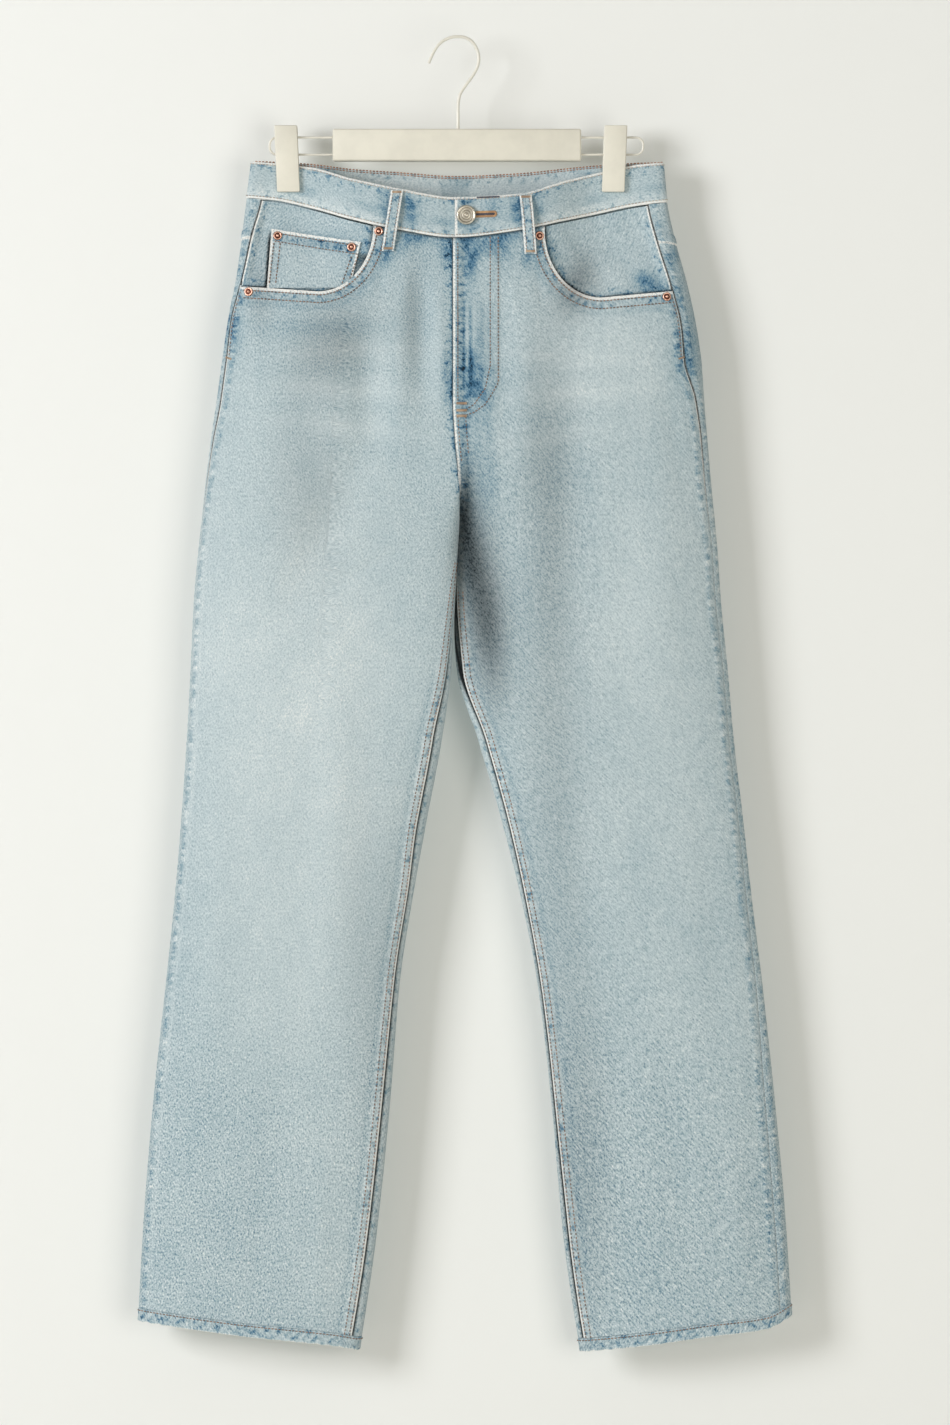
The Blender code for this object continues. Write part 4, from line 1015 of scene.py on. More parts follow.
def scoop_value(side, x, z):
    """Distance outside the pocket mouth's edge, negative within the mouth."""
    s = SCOOPS[side]
    xs, zs = scoop_edge(side)
    away = distance_to(xs, zs, x, z)[0]
    below_arc = ((x - s["centre_x"]) / s["reach_x"]) ** 2 + ((z - s["top_z"]) / s["drop"]) ** 2 < 1
    lean = (s["side_z"] - s["top_z"] + s["drop"]) / (s["side_x"] - s["centre_x"])
    above_line = z > s["top_z"] - s["drop"] + lean * (x - s["centre_x"])
    beyond = (x - s["centre_x"]) * side > 0
    within = np.where(z > s["top_z"], (x - s["centre_x"] - s["reach_x"]) * side > 0, below_arc)
    within = np.where(beyond & (z <= s["top_z"]), above_line, within)
    return np.where(within, -away, away)


# How far from the side seam, as an angle round the leg, the fronts and, closer, the backs and facings stop.
SEAM_ROOM, SEAM_LAP = 0.006, 0.004


def front_panel(side):
    top = WAIST_SEAM - 0.4
    z = np.linspace(top, HEM_SEAM + 0.3, int((top - HEM_SEAM) / ROW_PITCH))
    start = seam_angle(side, z) + SEAM_ROOM
    parted = opened(FRONT, z)
    leg = parted[:, None] ** 2
    end = math.pi - inseam_angle(side, z) - SEAM_ROOM * (parted > 0.995)
    share, d, total = arc_shares(side, FRONT, start, end, z)
    angle = start[:, None] + (end - start)[:, None] * share
    height = np.broadcast_to(z[:, None], angle.shape)
    to_inner = total - d
    turned_in = leg * ease(height, -600, -545) * (side == WEARER_RIGHT)
    relief = front_relief(side, d, to_inner, height)
    outer = cloth(side, FRONT, angle, height, relief)
    away = scoop_value(side, outer[..., 0], outer[..., 2])
    roll = mouth_relief(away) * (outer[..., 2] > SCOOPS[side]["side_z"] - BELOW_MOUTH)
    outer = outer + normals(side, FRONT, angle, height) * roll[..., None]
    if side == WEARER_LEFT:
        outer[..., 0] -= FLY_LAP * ease(to_inner, 8.0, 0.0) * (1 - leg)
    inner = outer - normals(side, FRONT, angle, height) * CLOTH
    mouth = scoop_value(side, outer[..., 0], outer[..., 2])
    upper = outer[..., 2] > SCOOPS[side]["side_z"] - BELOW_MOUTH
    edge = np.minimum(to_inner + 14 * turned_in, d + 1.0 + 1.0 * ease(height, -330, -470))
    edge = np.where(upper, np.minimum(edge, np.abs(mouth) - ROLLED), edge)
    keep = np.where(upper, mouth, FAR)
    uv = np.stack([side * to_inner, height], axis=-1)
    fields = base_fields(outer, edge, d)
    seam = leg * ease(to_inner, 11.0, 9.8) * (1 - turned_in)
    # Painted shadow: a dark line beside the fly's lapped edge and under the waistband.
    fly_edge_shadow = (1 - leg) * ease(to_inner, 3.0, 1.6) * (side == WEARER_RIGHT) * ease(height, CROTCH, -430)
    under_band_shadow = ease(height, WAIST_SEAM - 2.6, WAIST_SEAM - 1.3)
    fields["gap"] += 0.9 * fly_edge_shadow + 0.8 * under_band_shadow
    fields["fade"] += 0.7 * seam - 0.5 * leg * (1 - turned_in) * bell(to_inner, 13.0, 2.2)
    if side == WEARER_RIGHT:
        fields["fade"] += 0.42 * leg * (bell(d, 8.5, 0.9) + bell(d, 11.5, 0.9))
        # Painted shade beside the centre seam, where the fly's lapped edge overhangs it.
        fields["deep"] += (1 - leg) * 0.8 * ease(to_inner, 6.0, 1.0) * (height > CROTCH)
    else:
        rungs = np.clip(ripple(height, 9.0, 0.7), 0, 1) * bell(to_inner, 8.0, 4.0)
        # Painted shadow that falls on this leg in the cleft.
        fields["gap"] += patches(CLEFT_ROWS, outer)
        streaks = ease(to_inner, 5.0, 9.0) * ease(to_inner, 36.0, 24.0)
        streaks = streaks * (0.2 + 1.5 * ripple(to_inner, 5.2, 0.5))
        pressed = (1 - leg) * ease(height, WAIST_SEAM - 60, WAIST_SEAM - 80)
        unworn = 0.7 * rungs + 0.30 * pressed * ease(to_inner, 38.0, 30.0)
        fields["deep"] += (1 - leg) * unworn
        fields["fade"] += pressed * 1.1 * streaks * ease(height, -325, -290)
    fields["deep"] += seam * 0.75 * np.clip(ripple(height, 6.4, 2.0 + side), 0, 1)
    fields["deep"] += 0.5 * ease(height, WAIST_SEAM - 14, WAIST_SEAM - 3)
    along_mouth = distance_to(*scoop_edge(side), outer[..., 0], outer[..., 2])[1]
    between = ease(mouth, 3.4, 4.6) * ease(mouth, 10.6, 9.4) * upper
    fields["deep"] += between * np.clip(ripple(along_mouth, 5.6, 0.4), 0, 1)
    fields["deep"] += upper * 0.30 * bell(mouth, 14.5, 3.5)
    tag = side_name(side)
    panel = shell(f"denim_front_{tag}", outer, inner, uv, fields, [DENIM, INSIDE], keep=keep)
    declare(f"front_panel_{tag}", outer, keep)


TUCK, TUCK_DEPTH = 1.6, 1.0
# The wearer's-left back shows further in the cleft: how far, and where.
CLEFT_REACH, CLEFT_LEVEL, CLEFT_SPREAD = 10.0, -515.0, 48.0
# Keeps the backs' cloth coordinates off the side where slanting ribs show.
BACK_AWAY = 400.0


def back_sheet(side, top, low, rows, name, node, with_yoke_edge):
    """A back panel or yoke. top and low give its height across, by the share from the centre."""
    down = np.linspace(0, 1, rows)
    middle = top(0.5) + (low(0.5) - top(0.5)) * down
    start, end = math.pi + inseam_angle(side, middle), -seam_angle(side, middle)
    share, d, total = arc_shares(side, BACK, start, end, middle)
    across = d / total
    height = top(across) + (low(across) - top(across)) * down[:, None]
    begin, finish = math.pi + inseam_angle(side, height), -seam_angle(side, height)
    apart = ease(opened(BACK, height), 0.9, 1.0)
    begin = begin + TUCK / half_width(side, height) * apart
    finish = finish + SEAM_LAP
    angle = begin + (finish - begin) * share
    to_side = total - d
    leg = opened(BACK, height) ** 2
    relief = outseam_relief(to_side, height, 3.0 + side)
    relief = relief - leg * TUCK_DEPTH * ease(d, 3.2, 1.6)
    seat = 0.9 * ease(d, 9.5, 6.5) * (side == WEARER_LEFT)
    seat = seat + 0.24 * ripple(height, 7.0, 0.4) * bell(d, 5.0, 4.0)
    relief = relief + (1 - leg) * seat
    yoke_d = np.abs(height - (low(across) if with_yoke_edge else top(across)))
    if with_yoke_edge:
        relief = relief + 0.75 * ease(yoke_d, 9.5, 6.5) * ease(yoke_d, 0.0, 0.6)
    relief = relief + 0.2 * ripple(d, 7.5, 1.1) * bell(yoke_d, 4.0, 4.0)
    outer = cloth(side, BACK, angle, height, relief)
    in_cleft = bell(height, CLEFT_LEVEL, CLEFT_SPREAD) * (side == WEARER_LEFT) * leg
    room = outer[..., 0] - outline("inner", WEARER_RIGHT, height) - 0.3
    outer[..., 0] -= np.clip(room, 0, CLEFT_REACH) * in_cleft * ease(d, 16.0, 2.0)
    inner = outer - normals(side, BACK, angle, height) * CLOTH
    edge = np.minimum(np.minimum(d, to_side + 1.0 + 1.0 * ease(height, -330, -470)), yoke_d + 0.9)
    uv = np.stack([-side * d - BACK_AWAY, height], axis=-1)
    edge = np.where(leg > 0.5, np.maximum(edge, np.where(d < 6, 3.0, 0)), edge)
    fields = base_fields(outer, edge, to_side)
    fields["fade"] += 0.5 * leg * ease(d, 16.0, 4.0)
    hip = ease(height, -470, -330)
    # Painted shadow: a dark line under the inseam's fold and beside the hip's side seam, and the shadow in
    # the cleft on the wearer's-left back.
    fields["gap"] += leg * ease(d, 3.0, 2.0) + 0.9 * hip * ease(to_side, 1.5, 0.7)
    fields["gap"] += 0.7 * in_cleft * ease(d, 26.0, 14.0)
    piece = shell(name, outer, inner, uv, fields, [DENIM, INSIDE])
    declare(node, outer)


def yoke_seam(share):
    return YOKE_CENTRE + (YOKE_SIDE - YOKE_CENTRE) * share


def back_panels(side):
    tag = side_name(side)
    flat_top = lambda share: WAIST_SEAM - 0.4 + 0 * share
    flat_low = lambda share: HEM_SEAM + 0.3 + 0 * share
    below_yoke = lambda share: yoke_seam(share) - 0.25
    back_sheet(side, flat_top, yoke_seam, 26, f"denim_yoke_{tag}", f"yoke_{tag}", True)
    rows = int((YOKE_CENTRE - HEM_SEAM) / ROW_PITCH)
    back_sheet(side, below_yoke, flat_low, rows, f"denim_back_{tag}", f"back_panel_{tag}", False)


# Hems and waistband: folded strips swept round with a rounded section.

# Section of a folded strip: share of its height up from the free or sewn edge,
# and share of its wall out from the inner skin.
STRIP_PROFILE = (
    (0.00, 0.50), (0.012, 0.82), (0.045, 0.97), (0.11, 1.0), (0.20, 1.0), (0.30, 1.0), (0.42, 1.0),
    (0.54, 1.0), (0.66, 1.0), (0.78, 1.0), (0.88, 1.0), (0.955, 0.97), (0.988, 0.82), (1.00, 0.50),
    (0.985, 0.15),
    (0.93, 0.0), (0.70, 0.0), (0.50, 0.0), (0.30, 0.0), (0.07, 0.0), (0.015, 0.15),
)


def hem(side):
    """The turned-up leg end, twisted by its stitching into slanted ropes."""
    steps = 190
    angles = np.linspace(0, 2 * math.pi, steps, endpoint=False)
    up, out = (np.array(part) for part in zip(*STRIP_PROFILE))
    angle = np.broadcast_to(angles[:, None], (steps, len(up)))
    height = np.broadcast_to(HEM_LINE + HEM_HEIGHT * up, angle.shape)
    outer = np.empty(angle.shape + (3,))
    skin = np.empty_like(outer)
    front = angle <= math.pi
    for face, mask, turned in ((FRONT, front, angle), (BACK, ~front, 2 * math.pi - angle)):
        outer[mask] = on_cloth(side, face, turned[mask], height[mask])
        skin[mask] = normals(side, face, turned[mask], height[mask])
    run = np.linalg.norm(np.diff(outer[:, 3], axis=0, append=outer[:1, 3]), axis=1)
    along = np.concatenate([[0], np.cumsum(run)[:-1]])[:, None] * np.ones(len(up))
    slant = along + (height - HEM_LINE) * 0.9 * side
    rope = 0.42 * ripple(slant, 8.6, 0.5) * np.sin(np.pi * np.clip(up, 0, 1)) * (out > 0.4)
    thick = HEM_OUT - HEM_WALL * (1 - out) + rope
    points = outer + skin * thick[..., None]
    points[..., 2] += 0.35 * ripple(along, 12.0, 1.7) * (up < 0.2)
    edge = np.minimum(height - HEM_LINE + 1.3, 4.5)
    fields = base_fields(points, edge)
    ropes = ripple(slant, 8.6, 0.5) * (up > 0.12) * (up < 0.8) * (out > 0.4)
    fields["deep"] += 0.6 * np.clip(-ropes, 0, 1)
    fields["fade"] += 0.9 * np.clip(ropes, 0, 1)
    uv = np.stack([along, height], axis=-1)
    tag = side_name(side)
    piece = swept(f"denim_hem_{tag}", points, uv, fields, [DENIM], closed=True)
    hung(f"hem_{tag}")


BAND_STEPS = 66
LAP = 32.0
LAP_RISE, LAP_DROP, LAP_EASE = 1.2, 1.8, 16.0


def waistband():
    """One strip from its upper end at the centre front round to its lower end under the lap."""
    half = np.linspace(0, math.pi, BAND_STEPS)
    stations = [(WEARER_LEFT, FRONT, a, 0) for a in half[::-1]]
    stations += [(WEARER_LEFT, BACK, a, 0) for a in half[1:-1]]
    stations += [(WEARER_RIGHT, BACK, a, 0) for a in half[::-1]]
    stations += [(WEARER_RIGHT, FRONT, a, 0) for a in half[1:]]
    for x in np.linspace(0, LAP, 14)[1:] - 3:
        angle = float(angle_at(WEARER_LEFT, np.array(x), np.array(WAIST_SEAM + 18.0)))
        stations.append((WEARER_LEFT, FRONT, angle, 1))
    up, out = (np.array(part) for part in zip(*STRIP_PROFILE))
    height = WAIST_SEAM + (BAND_TOP - WAIST_SEAM) * up
    points = np.empty((len(stations), len(up), 3))
    along = 0.0
    uv = np.empty((len(stations), len(up), 2))
    edge = np.empty((len(stations), len(up)))
    last = None
    for i, (side, face, angle, under) in enumerate(stations):
        angle = np.full(len(up), angle)
        base = on_cloth(side, face, angle, height)
        skin = normals(side, face, angle, height)
        if last is not None:
            along += float(np.linalg.norm(base[3] - last))
        last = base[3]
        near = ease(np.abs(base[:, 0] + 3), LAP_EASE, 0) * (face == FRONT)
        shift = near * (LAP_RISE if side == WEARER_LEFT else -LAP_DROP)
        if under:
            shift = np.full(len(up), -LAP_DROP)
        puckers = 0.20 * ripple(along + 0 * up, 7.5, 0.3) * bell(up, 0.06, 0.10)
        puckers = puckers + 0.22 * ripple(along + 0 * up, 8.5, 1.9) * bell(up, 0.93, 0.09)
        waves = 0.30 * ripple(along + 9 * up, 46.0, 0.9)
        thick = BAND_OUT - BAND_WALL * (1 - out) + shift + (puckers + waves) * (out > 0.4) * (1 - under)
        points[i] = base + skin * thick[:, None]
        uv[i] = np.stack([np.full(len(up), along), height], axis=-1)
        edge[i] = np.minimum(up, 1 - up) * (BAND_TOP - WAIST_SEAM)
    edge = np.minimum(edge, np.maximum(uv[..., 0], 0) - 0.6)
    behind = points[..., 1] > 0
    edge = np.where(behind & (up > 0.85), np.maximum(edge, 3.0), edge)
    fields = base_fields(points, edge)
    fields["fade"] += 0.35 + 0.8 * behind * (out < 0.3)
    streaks = ripple(height + 0 * uv[..., 0] + 2.0 * np.sin(uv[..., 0] / 37.0), 9.0, 0.8)
    fields["deep"] += 0.40 * np.clip(streaks * ripple(uv[..., 0], 90.0, 0.5), 0, 1)
    above_seam = height - WAIST_SEAM
    line = bell(above_seam, 13.0, 3.0) * np.clip(0.5 + ripple(uv[..., 0], 70.0, 2.0), 0, 1)
    fields["deep"] += 0.7 * line + 0.12 * ease(above_seam, 14, 20)
    fields["fade"] += 0.55 * ease(above_seam, 12.0, 9.0)
    for row in LOOP_ROWS:
        beside = np.abs(points[..., 0] - row["top_x"] - 1.5) < 13
        facing_it = points[..., 1] * row["face"] > 0
        fields["deep"] += 0.38 * beside * facing_it
    piece = swept("denim_waistband", points, uv[..., ::-1], fields, [DENIM])
    hung("waistband")


# Patches seated on or behind the panels.


def patch(name, node, face, xs, zs, out, wall, rests_on, edge, deep, keep=None):
    """A thin sheet over a grid of true x and z, its outer skin at out from the cloth's surface."""
    spots, skin = place(face, xs, zs, out)
    back = spots - skin * wall
    uv = np.stack([xs, zs], axis=-1)
    fields = base_fields(spots, edge)
    fields["deep"] += deep
    piece = shell(name, spots, back, uv, fields, [DENIM], keep=keep)
    declare(node, spots, keep)


COIN_TOP = ((-168.0, -172.0), (-87.5, -185.0))
COIN_LOW = ((-172.0, -226.0), (-97.0, -226.0))
FACING_DEPTH, FACING_WALL = 1.8, 1.0
FACING_UNDERLAP, FACING_TOP = 12.0, 1.5


def pocket_facing(side):
    """The denim facing that shows inside the pocket mouth, flush with the side seam there."""
    s = SCOOPS[side]
    inner_x = s["centre_x"] + s["reach_x"] - side * FACING_UNDERLAP
    low = s["top_z"] - s["drop"] - FACING_UNDERLAP
    across, down = np.linspace(0, 1, 60)[None, :], np.linspace(0, 1, 40)[:, None]
    level = WAIST_SEAM - FACING_TOP + (level_of(FRONT, inner_x, low) - WAIST_SEAM) * down
    begin, finish = seam_angle(side, level) + SEAM_LAP, angle_at(side, inner_x + 0 * level, level)
    angle = begin + (finish - begin) * across
    level = np.broadcast_to(level, angle.shape)
    spots, skin = on_cloth(side, FRONT, angle, level), normals(side, FRONT, angle, level)
    mouth = scoop_value(side, spots[..., 0], spots[..., 2])
    from_seam = np.cumsum(np.linalg.norm(np.diff(spots, axis=1, prepend=spots[:, :1]), axis=2), axis=1)
    away = np.clip(-mouth, 0, 30)
    flush = ease(from_seam, 9.0, 0.5) * ease(away, 1.0, 7.0)
    sag = 1.3 * ease(away, 0, 14) * ease(down, 0.0, 0.3)
    sag = sag + 0.6 * ripple(spots[..., 0] + 0.6 * spots[..., 2], 31.0, 1.0 + side) * ease(away, 0, 10)
    out = -(FACING_DEPTH + sag) * (1 - flush) - 0.15 * flush
    outer = spots + skin * out[..., None]
    edge = np.where(flush > 0.1, from_seam + 0.5, np.maximum(np.abs(mouth), 3.2))
    fields = base_fields(outer, edge)
    # Painted shade inside the pocket mouth: a darker band under its edge and a painted shadow line right at
    # it.
    fields["deep"] += 0.40 * ease(away, 9.0, 0.0) * (1 - flush)
    fields["gap"] += 0.85 * ease(away, 2.4, 0.9) * (1 - flush)
    if side == WEARER_RIGHT:
        for end in (0, 1):
            (top_x, top_z), (low_x, low_z) = COIN_TOP[end], COIN_LOW[end]
            line = ((top_x, low_x), (top_z, low_z))
            beside = distance_to(*line, spots[..., 0], spots[..., 2])[0]
            below_top = ease(spots[..., 2], top_z + 1, top_z - 9)
            # Painted shadow in the gaps beside the coin pocket's sides.
            fields["gap"] += 0.95 * ease(beside, 3.4, 1.8) * below_top
    uv = np.stack([side * from_seam, level], axis=-1)
    tag = side_name(side)
    piece = shell(f"denim_pocket_facing_{tag}", outer, outer - skin * FACING_WALL, uv, fields, [DENIM])
    declare(f"pocket_facing_{tag}", outer)


def coin_pocket():
    """The small patch pocket on the facing, cut off below by the big pocket's mouth."""
    across, down = np.linspace(0, 1, 50)[None, :], np.linspace(0, 1, 34)[:, None]
    (x0, z0), (x1, z1) = COIN_TOP
    (x2, z2), (x3, z3) = COIN_LOW
    top_x, top_z = x0 + (x1 - x0) * across, z0 + (z1 - z0) * across
    low_x, low_z = x2 + (x3 - x2) * across, z2 + (z3 - z2) * across
    xs, zs = top_x + (low_x - top_x) * down, top_z + (low_z - top_z) * down
    mouth = scoop_value(WEARER_RIGHT, xs, zs)
    from_top = np.hypot(xs - top_x, zs - top_z)
    from_sides = np.minimum(np.abs(xs - xs[:, :1]), np.abs(xs - xs[:, -1:]))
    edge = np.minimum(from_top - ROLLED, from_sides)
    between = ease(from_top, 3.8, 5.0) * ease(from_top, 11.4, 10.2)
    squares = between * np.clip(ripple(xs, 5.6, 0.2), 0, 1)
    puff = 0.5 * ease(from_top, 0, 12) * ease(from_sides, 0, 12)
    puff = puff + 0.12 * ripple(xs, 7.0, 0.2) * ease(from_top, 12, 2)
    patch(
        "denim_coin_pocket", "coin_pocket", FRONT, xs, zs, -SEAM_GAP - 0.3 + puff, 1.0, ["pocket_facing_r"],
        edge, squares, keep=-mouth - 0.2,
    )


BACK_POCKET_COLUMNS = ("centre_x", "top_z", "top_width", "low_width", "side_height", "point")
BACK_POCKET = dict(zip(BACK_POCKET_COLUMNS, (101, -240, 150, 130, 138, 24)))


def back_pocket_grid(across, down):
    p = BACK_POCKET
    width = p["top_width"] + (p["low_width"] - p["top_width"]) * down
    return width / 2 * across, p["top_z"] - (p["side_height"] + p["point"] * (1 - np.abs(across))) * down


def back_pocket(side):
    across, down = np.linspace(-1, 1, 67)[None, :], np.linspace(0, 1, 71)[:, None]
    xs, zs = back_pocket_grid(across, down)
    from_side = BACK_POCKET["top_width"] / 2 * (1 - np.abs(across)) + 0 * down
    from_top = BACK_POCKET["side_height"] * down + 0 * across
    from_low = BACK_POCKET["side_height"] * (1 - down) + 0 * across
    edge = np.minimum(np.minimum(from_side, from_low), from_top)
    puff = 0.5 * ease(edge, 0, 1.2) + 0.8 * ease(edge, 9, 26) * ease(from_top, 0, 40)
    puff = puff + 0.16 * ripple(xs + zs, 7.5, side) * bell(edge, 5, 4)
    tag = side_name(side)
    xs = xs + side * BACK_POCKET["centre_x"]
    names = f"denim_back_pocket_{tag}", f"back_pocket_{tag}"
    patch(*names, BACK, xs, zs, 0.85 + puff, 1.1, [f"back_panel_{tag}"], edge, 0.0)


# Belt loops.

LOOP_COLUMNS = ("name", "face", "top_x", "end_x", "end_z")
LOOPS = (
    ("belt_loop_front_r", FRONT, -54.5, -63.0, -193.5),
    ("belt_loop_front_l", FRONT, 60.5, 65.0, -196.0),
    ("belt_loop_side_r", BACK, -118.0, -121.0, -170.0),
    ("belt_loop_side_l", BACK, 120.0, 123.0, -171.0),
    ("belt_loop_back", BACK, -3.0, -3.0, -179.5),
)
LOOP_ROWS = rows_of(LOOPS, LOOP_COLUMNS)
LOOP_WIDTH, LOOP_BELOW_EDGE, LOOP_THICK, LOOP_PROUD, LOOP_FOOT = 11.0, 2.0, 1.6, 2.6, 0.4
LOOP_SECTION = (
    (-0.5, 0.5), (-0.49, 0.85), (-0.44, 1.0), (-0.36, 0.93), (-0.28, 1.0), (-0.1, 1.06), (0.1, 1.06),
    (0.28, 1.0), (0.36, 0.93), (0.44, 1.0), (0.49, 0.85), (0.5, 0.5), (0.47, 0.1), (0.3, 0.0), (0.0, 0.0),
    (-0.3, 0.0), (-0.47, 0.1),
)


def loop_line(f, down):
    """Centre line of a belt loop: x, z and how far it stands off the cloth."""
    name = "front" if f["face"] == FRONT else "back"
    top = float(curve(WST["x"], WST[f"top_{name}"], np.array(f["top_x"]))) - LOOP_BELOW_EDGE
    x = f["top_x"] + (f["end_x"] - f["top_x"]) * down
    z = top + (f["end_z"] - top) * down
    off_band = BAND_OUT * ease(z, f["end_z"] + 6, f["end_z"] + 16)
    out = LOOP_FOOT + 0.5 + off_band + ease(down, 0.04, 0.26) * (1 - ease(down, 0.74, 0.96)) * LOOP_PROUD
    return x, z, out


def belt_loop(f):
    down = np.linspace(0, 1, 44)
    x, z, out = loop_line(f, down)
    side, rise = (np.array(part) for part in zip(*LOOP_SECTION))
    xs = x[:, None] + side * LOOP_WIDTH
    zs = z[:, None] + 0 * side
    spots, skin = place(f["face"], xs, zs)
    centre, centre_skin = place(f["face"], x, z)
    level = centre[:, None, :] * np.array([0, 1, 0]) + spots * np.array([1, 0, 1])
    flat = ease(down, 0.02, 0.14) * (1 - ease(down, 0.86, 0.98))
    spots = spots + (level - spots) * flat[:, None, None]
    skin = skin + (centre_skin[:, None, :] - skin) * flat[:, None, None]
    waves = 0.12 * ripple(down * 58, 6.5, f["top_x"])[:, None] * (rise > 0.4)
    points = spots + skin * (out[:, None] + LOOP_THICK * rise + waves)[..., None]
    edge = np.minimum((0.5 - np.abs(side)) * LOOP_WIDTH, 5)[None, :] + 0 * zs
    uv = np.stack([xs, zs], axis=-1)
    fields = base_fields(points, edge)
    piece = swept(f"denim_{f['name']}", points, uv, fields, [DENIM])
    hung(f["name"])


def build_cloth():
    waistband()
    for side in SIDES:
        front_panel(side)
        back_panels(side)
        hem(side)
        pocket_facing(side)
        back_pocket(side)
    coin_pocket()
    for row in LOOP_ROWS:
        belt_loop(row)


build_cloth()

# Sewing: short capsules of thread, joined by the group that they belong to.

STITCH_PITCH, STITCH_LENGTH, THREAD_RADIUS = 3.1, 2.3, 0.50
CAPSULE_RINGS = ((-0.38, 0.8), (0.0, 1.0), (0.38, 0.8))
CAPSULE_SIDES = 6
ABOVE_CLOTH = 0.18


class Sewing:
    """Stitches gathered from many seams into one mesh."""

    def __init__(self, name, look):
        self.name, self.look = name, look
        self.spots, self.runs, self.skins, self.lengths, self.radii = [], [], [], [], []

    def add(self, spots, runs, skins, length=STITCH_LENGTH, radius=THREAD_RADIUS):
        """Stitches centred at spots, lying along runs on cloth that faces along skins."""
        spots = spots.reshape(-1, 3)
        self.spots.append(spots)
        self.runs.append(np.broadcast_to(runs, spots.shape))
        self.skins.append(np.broadcast_to(skins, spots.shape))
        self.lengths.append(np.full(len(spots), length))
        self.radii.append(np.full(len(spots), radius))

    def row(self, spots, skins, **sizes):
        """A row of stitches along a line of points already at the stitches' pitch."""
        self.add(spots, np.gradient(spots, axis=0), skins, **sizes)

    def make(self):
        spots, skins = np.concatenate(self.spots), np.concatenate(self.skins)
        runs = np.concatenate(self.runs)
        runs = runs / np.linalg.norm(runs, axis=1, keepdims=True)
        across = np.cross(skins, runs)
        across /= np.linalg.norm(across, axis=1, keepdims=True)
        up = np.cross(runs, across)
        length = np.concatenate(self.lengths)[:, None]
        radius = np.concatenate(self.radii)[:, None]
        rings = [spots - runs * length / 2 - up * radius * 0.5]
        for share, wide in CAPSULE_RINGS:
            for turn in np.linspace(0, 2 * np.pi, CAPSULE_SIDES, endpoint=False):
                spoke = across * math.cos(turn) + up * math.sin(turn)
                rings.append(spots + runs * length * share + spoke * radius * wide)
        rings.append(spots + runs * length / 2 - up * radius * 0.5)
        points = np.stack(rings, axis=1)
        size, last = points.shape[1], points.shape[1] - 1
        pattern = []
        for i in range(CAPSULE_SIDES):
            n = (i + 1) % CAPSULE_SIDES
            pattern.append((0, 1 + n, 1 + i))
            for ring in range(len(CAPSULE_RINGS) - 1):
                here, after = 1 + ring * CAPSULE_SIDES, 1 + (ring + 1) * CAPSULE_SIDES
                pattern.append((here + i, here + n, after + n, after + i))
            end = 1 + (len(CAPSULE_RINGS) - 1) * CAPSULE_SIDES
            pattern.append((end + i, end + n, last))
        faces = [[k * size + i for i in face] for k in range(len(spots)) for face in pattern]
        piece = make_object(self.name, points.reshape(-1, 3), faces, [self.look], smooth_angle=80)


def along_line(xs, zs):
    """Evenly pitched points along a line of x and z."""
    xs, zs = np.asarray(xs, float), np.asarray(zs, float)
    run = np.concatenate([[0], np.cumsum(np.hypot(np.diff(xs), np.diff(zs)))])
    count = max(int(run[-1] / STITCH_PITCH), 1)
    at = (np.arange(count) + 0.5) * run[-1] / count
    return np.interp(at, run, xs), np.interp(at, run, zs)


def at_pitch(spots, skins):
    """Points of a line and the normals there, at the stitches' pitch."""
    run = np.concatenate([[0], np.cumsum(np.linalg.norm(np.diff(spots, axis=0), axis=1))])
    at = np.arange(STITCH_PITCH / 2, run[-1], STITCH_PITCH)
    return [np.stack([np.interp(at, run, line[:, k]) for k in range(3)], axis=1) for line in (spots, skins)]


def sew_line(sewing, face, xs, zs, out, **sizes):
    """A row of stitches over a line of true x and z, its cloth standing out by out."""
    x, z = along_line(xs, zs)
    spots, skins = place(face, x, z, out + ABOVE_CLOTH)
    sewing.row(spots, skins, **sizes)


def front_edge_angles(side, z, edge, d):
    """Angles on the front panel at a distance d from its outer or inner edge."""
    start = seam_angle(side, z) + SEAM_ROOM
    end = math.pi - inseam_angle(side, z)
    share, length = arc_lengths(side, FRONT, start, end, z)
    spot = np.full(len(z), d) if edge == "outer" else length[:, -1] - d
    found = np.array([np.interp(s, line, share) for s, line in zip(spot, length)])
    return start + (end - start) * found, spot, length[:, -1] - spot


def sew_beside(sewing, side, edge, d, z_top, z_end, **sizes):
    """A row on the front panel at distance d from its outer or inner edge."""
    z = np.linspace(z_top, z_end, int((z_top - z_end) / STITCH_PITCH))
    angle, from_side, to_inner = front_edge_angles(side, z, edge, d)
    out = front_relief(side, from_side, to_inner, z)
    spots, skins = cloth(side, FRONT, angle, z, out + ABOVE_CLOTH), normals(side, FRONT, angle, z)
    if side == WEARER_LEFT and edge == "inner":
        spots[:, 0] -= FLY_LAP * ease(to_inner, 8.0, 0.0) * (1 - opened(FRONT, z) ** 2)
    sewing.row(spots, skins, **sizes)


TACK_PITCH = 0.62


def bar_tack(sewing, face, x, z, tilt, length, width, out):
    """A dense bar of thread: close stitches across a bar that runs at an angle to the level."""
    count = int(length / TACK_PITCH)
    along = (np.arange(count) - (count - 1) / 2) * TACK_PITCH
    xs, zs = x + along * math.cos(tilt), z + along * math.sin(tilt)
    spots, skins = place(face, xs, zs, out + 0.3)
    across = np.array([-math.sin(tilt), 0.0, math.cos(tilt)])
    sewing.add(spots, across, skins, length=width, radius=0.42)


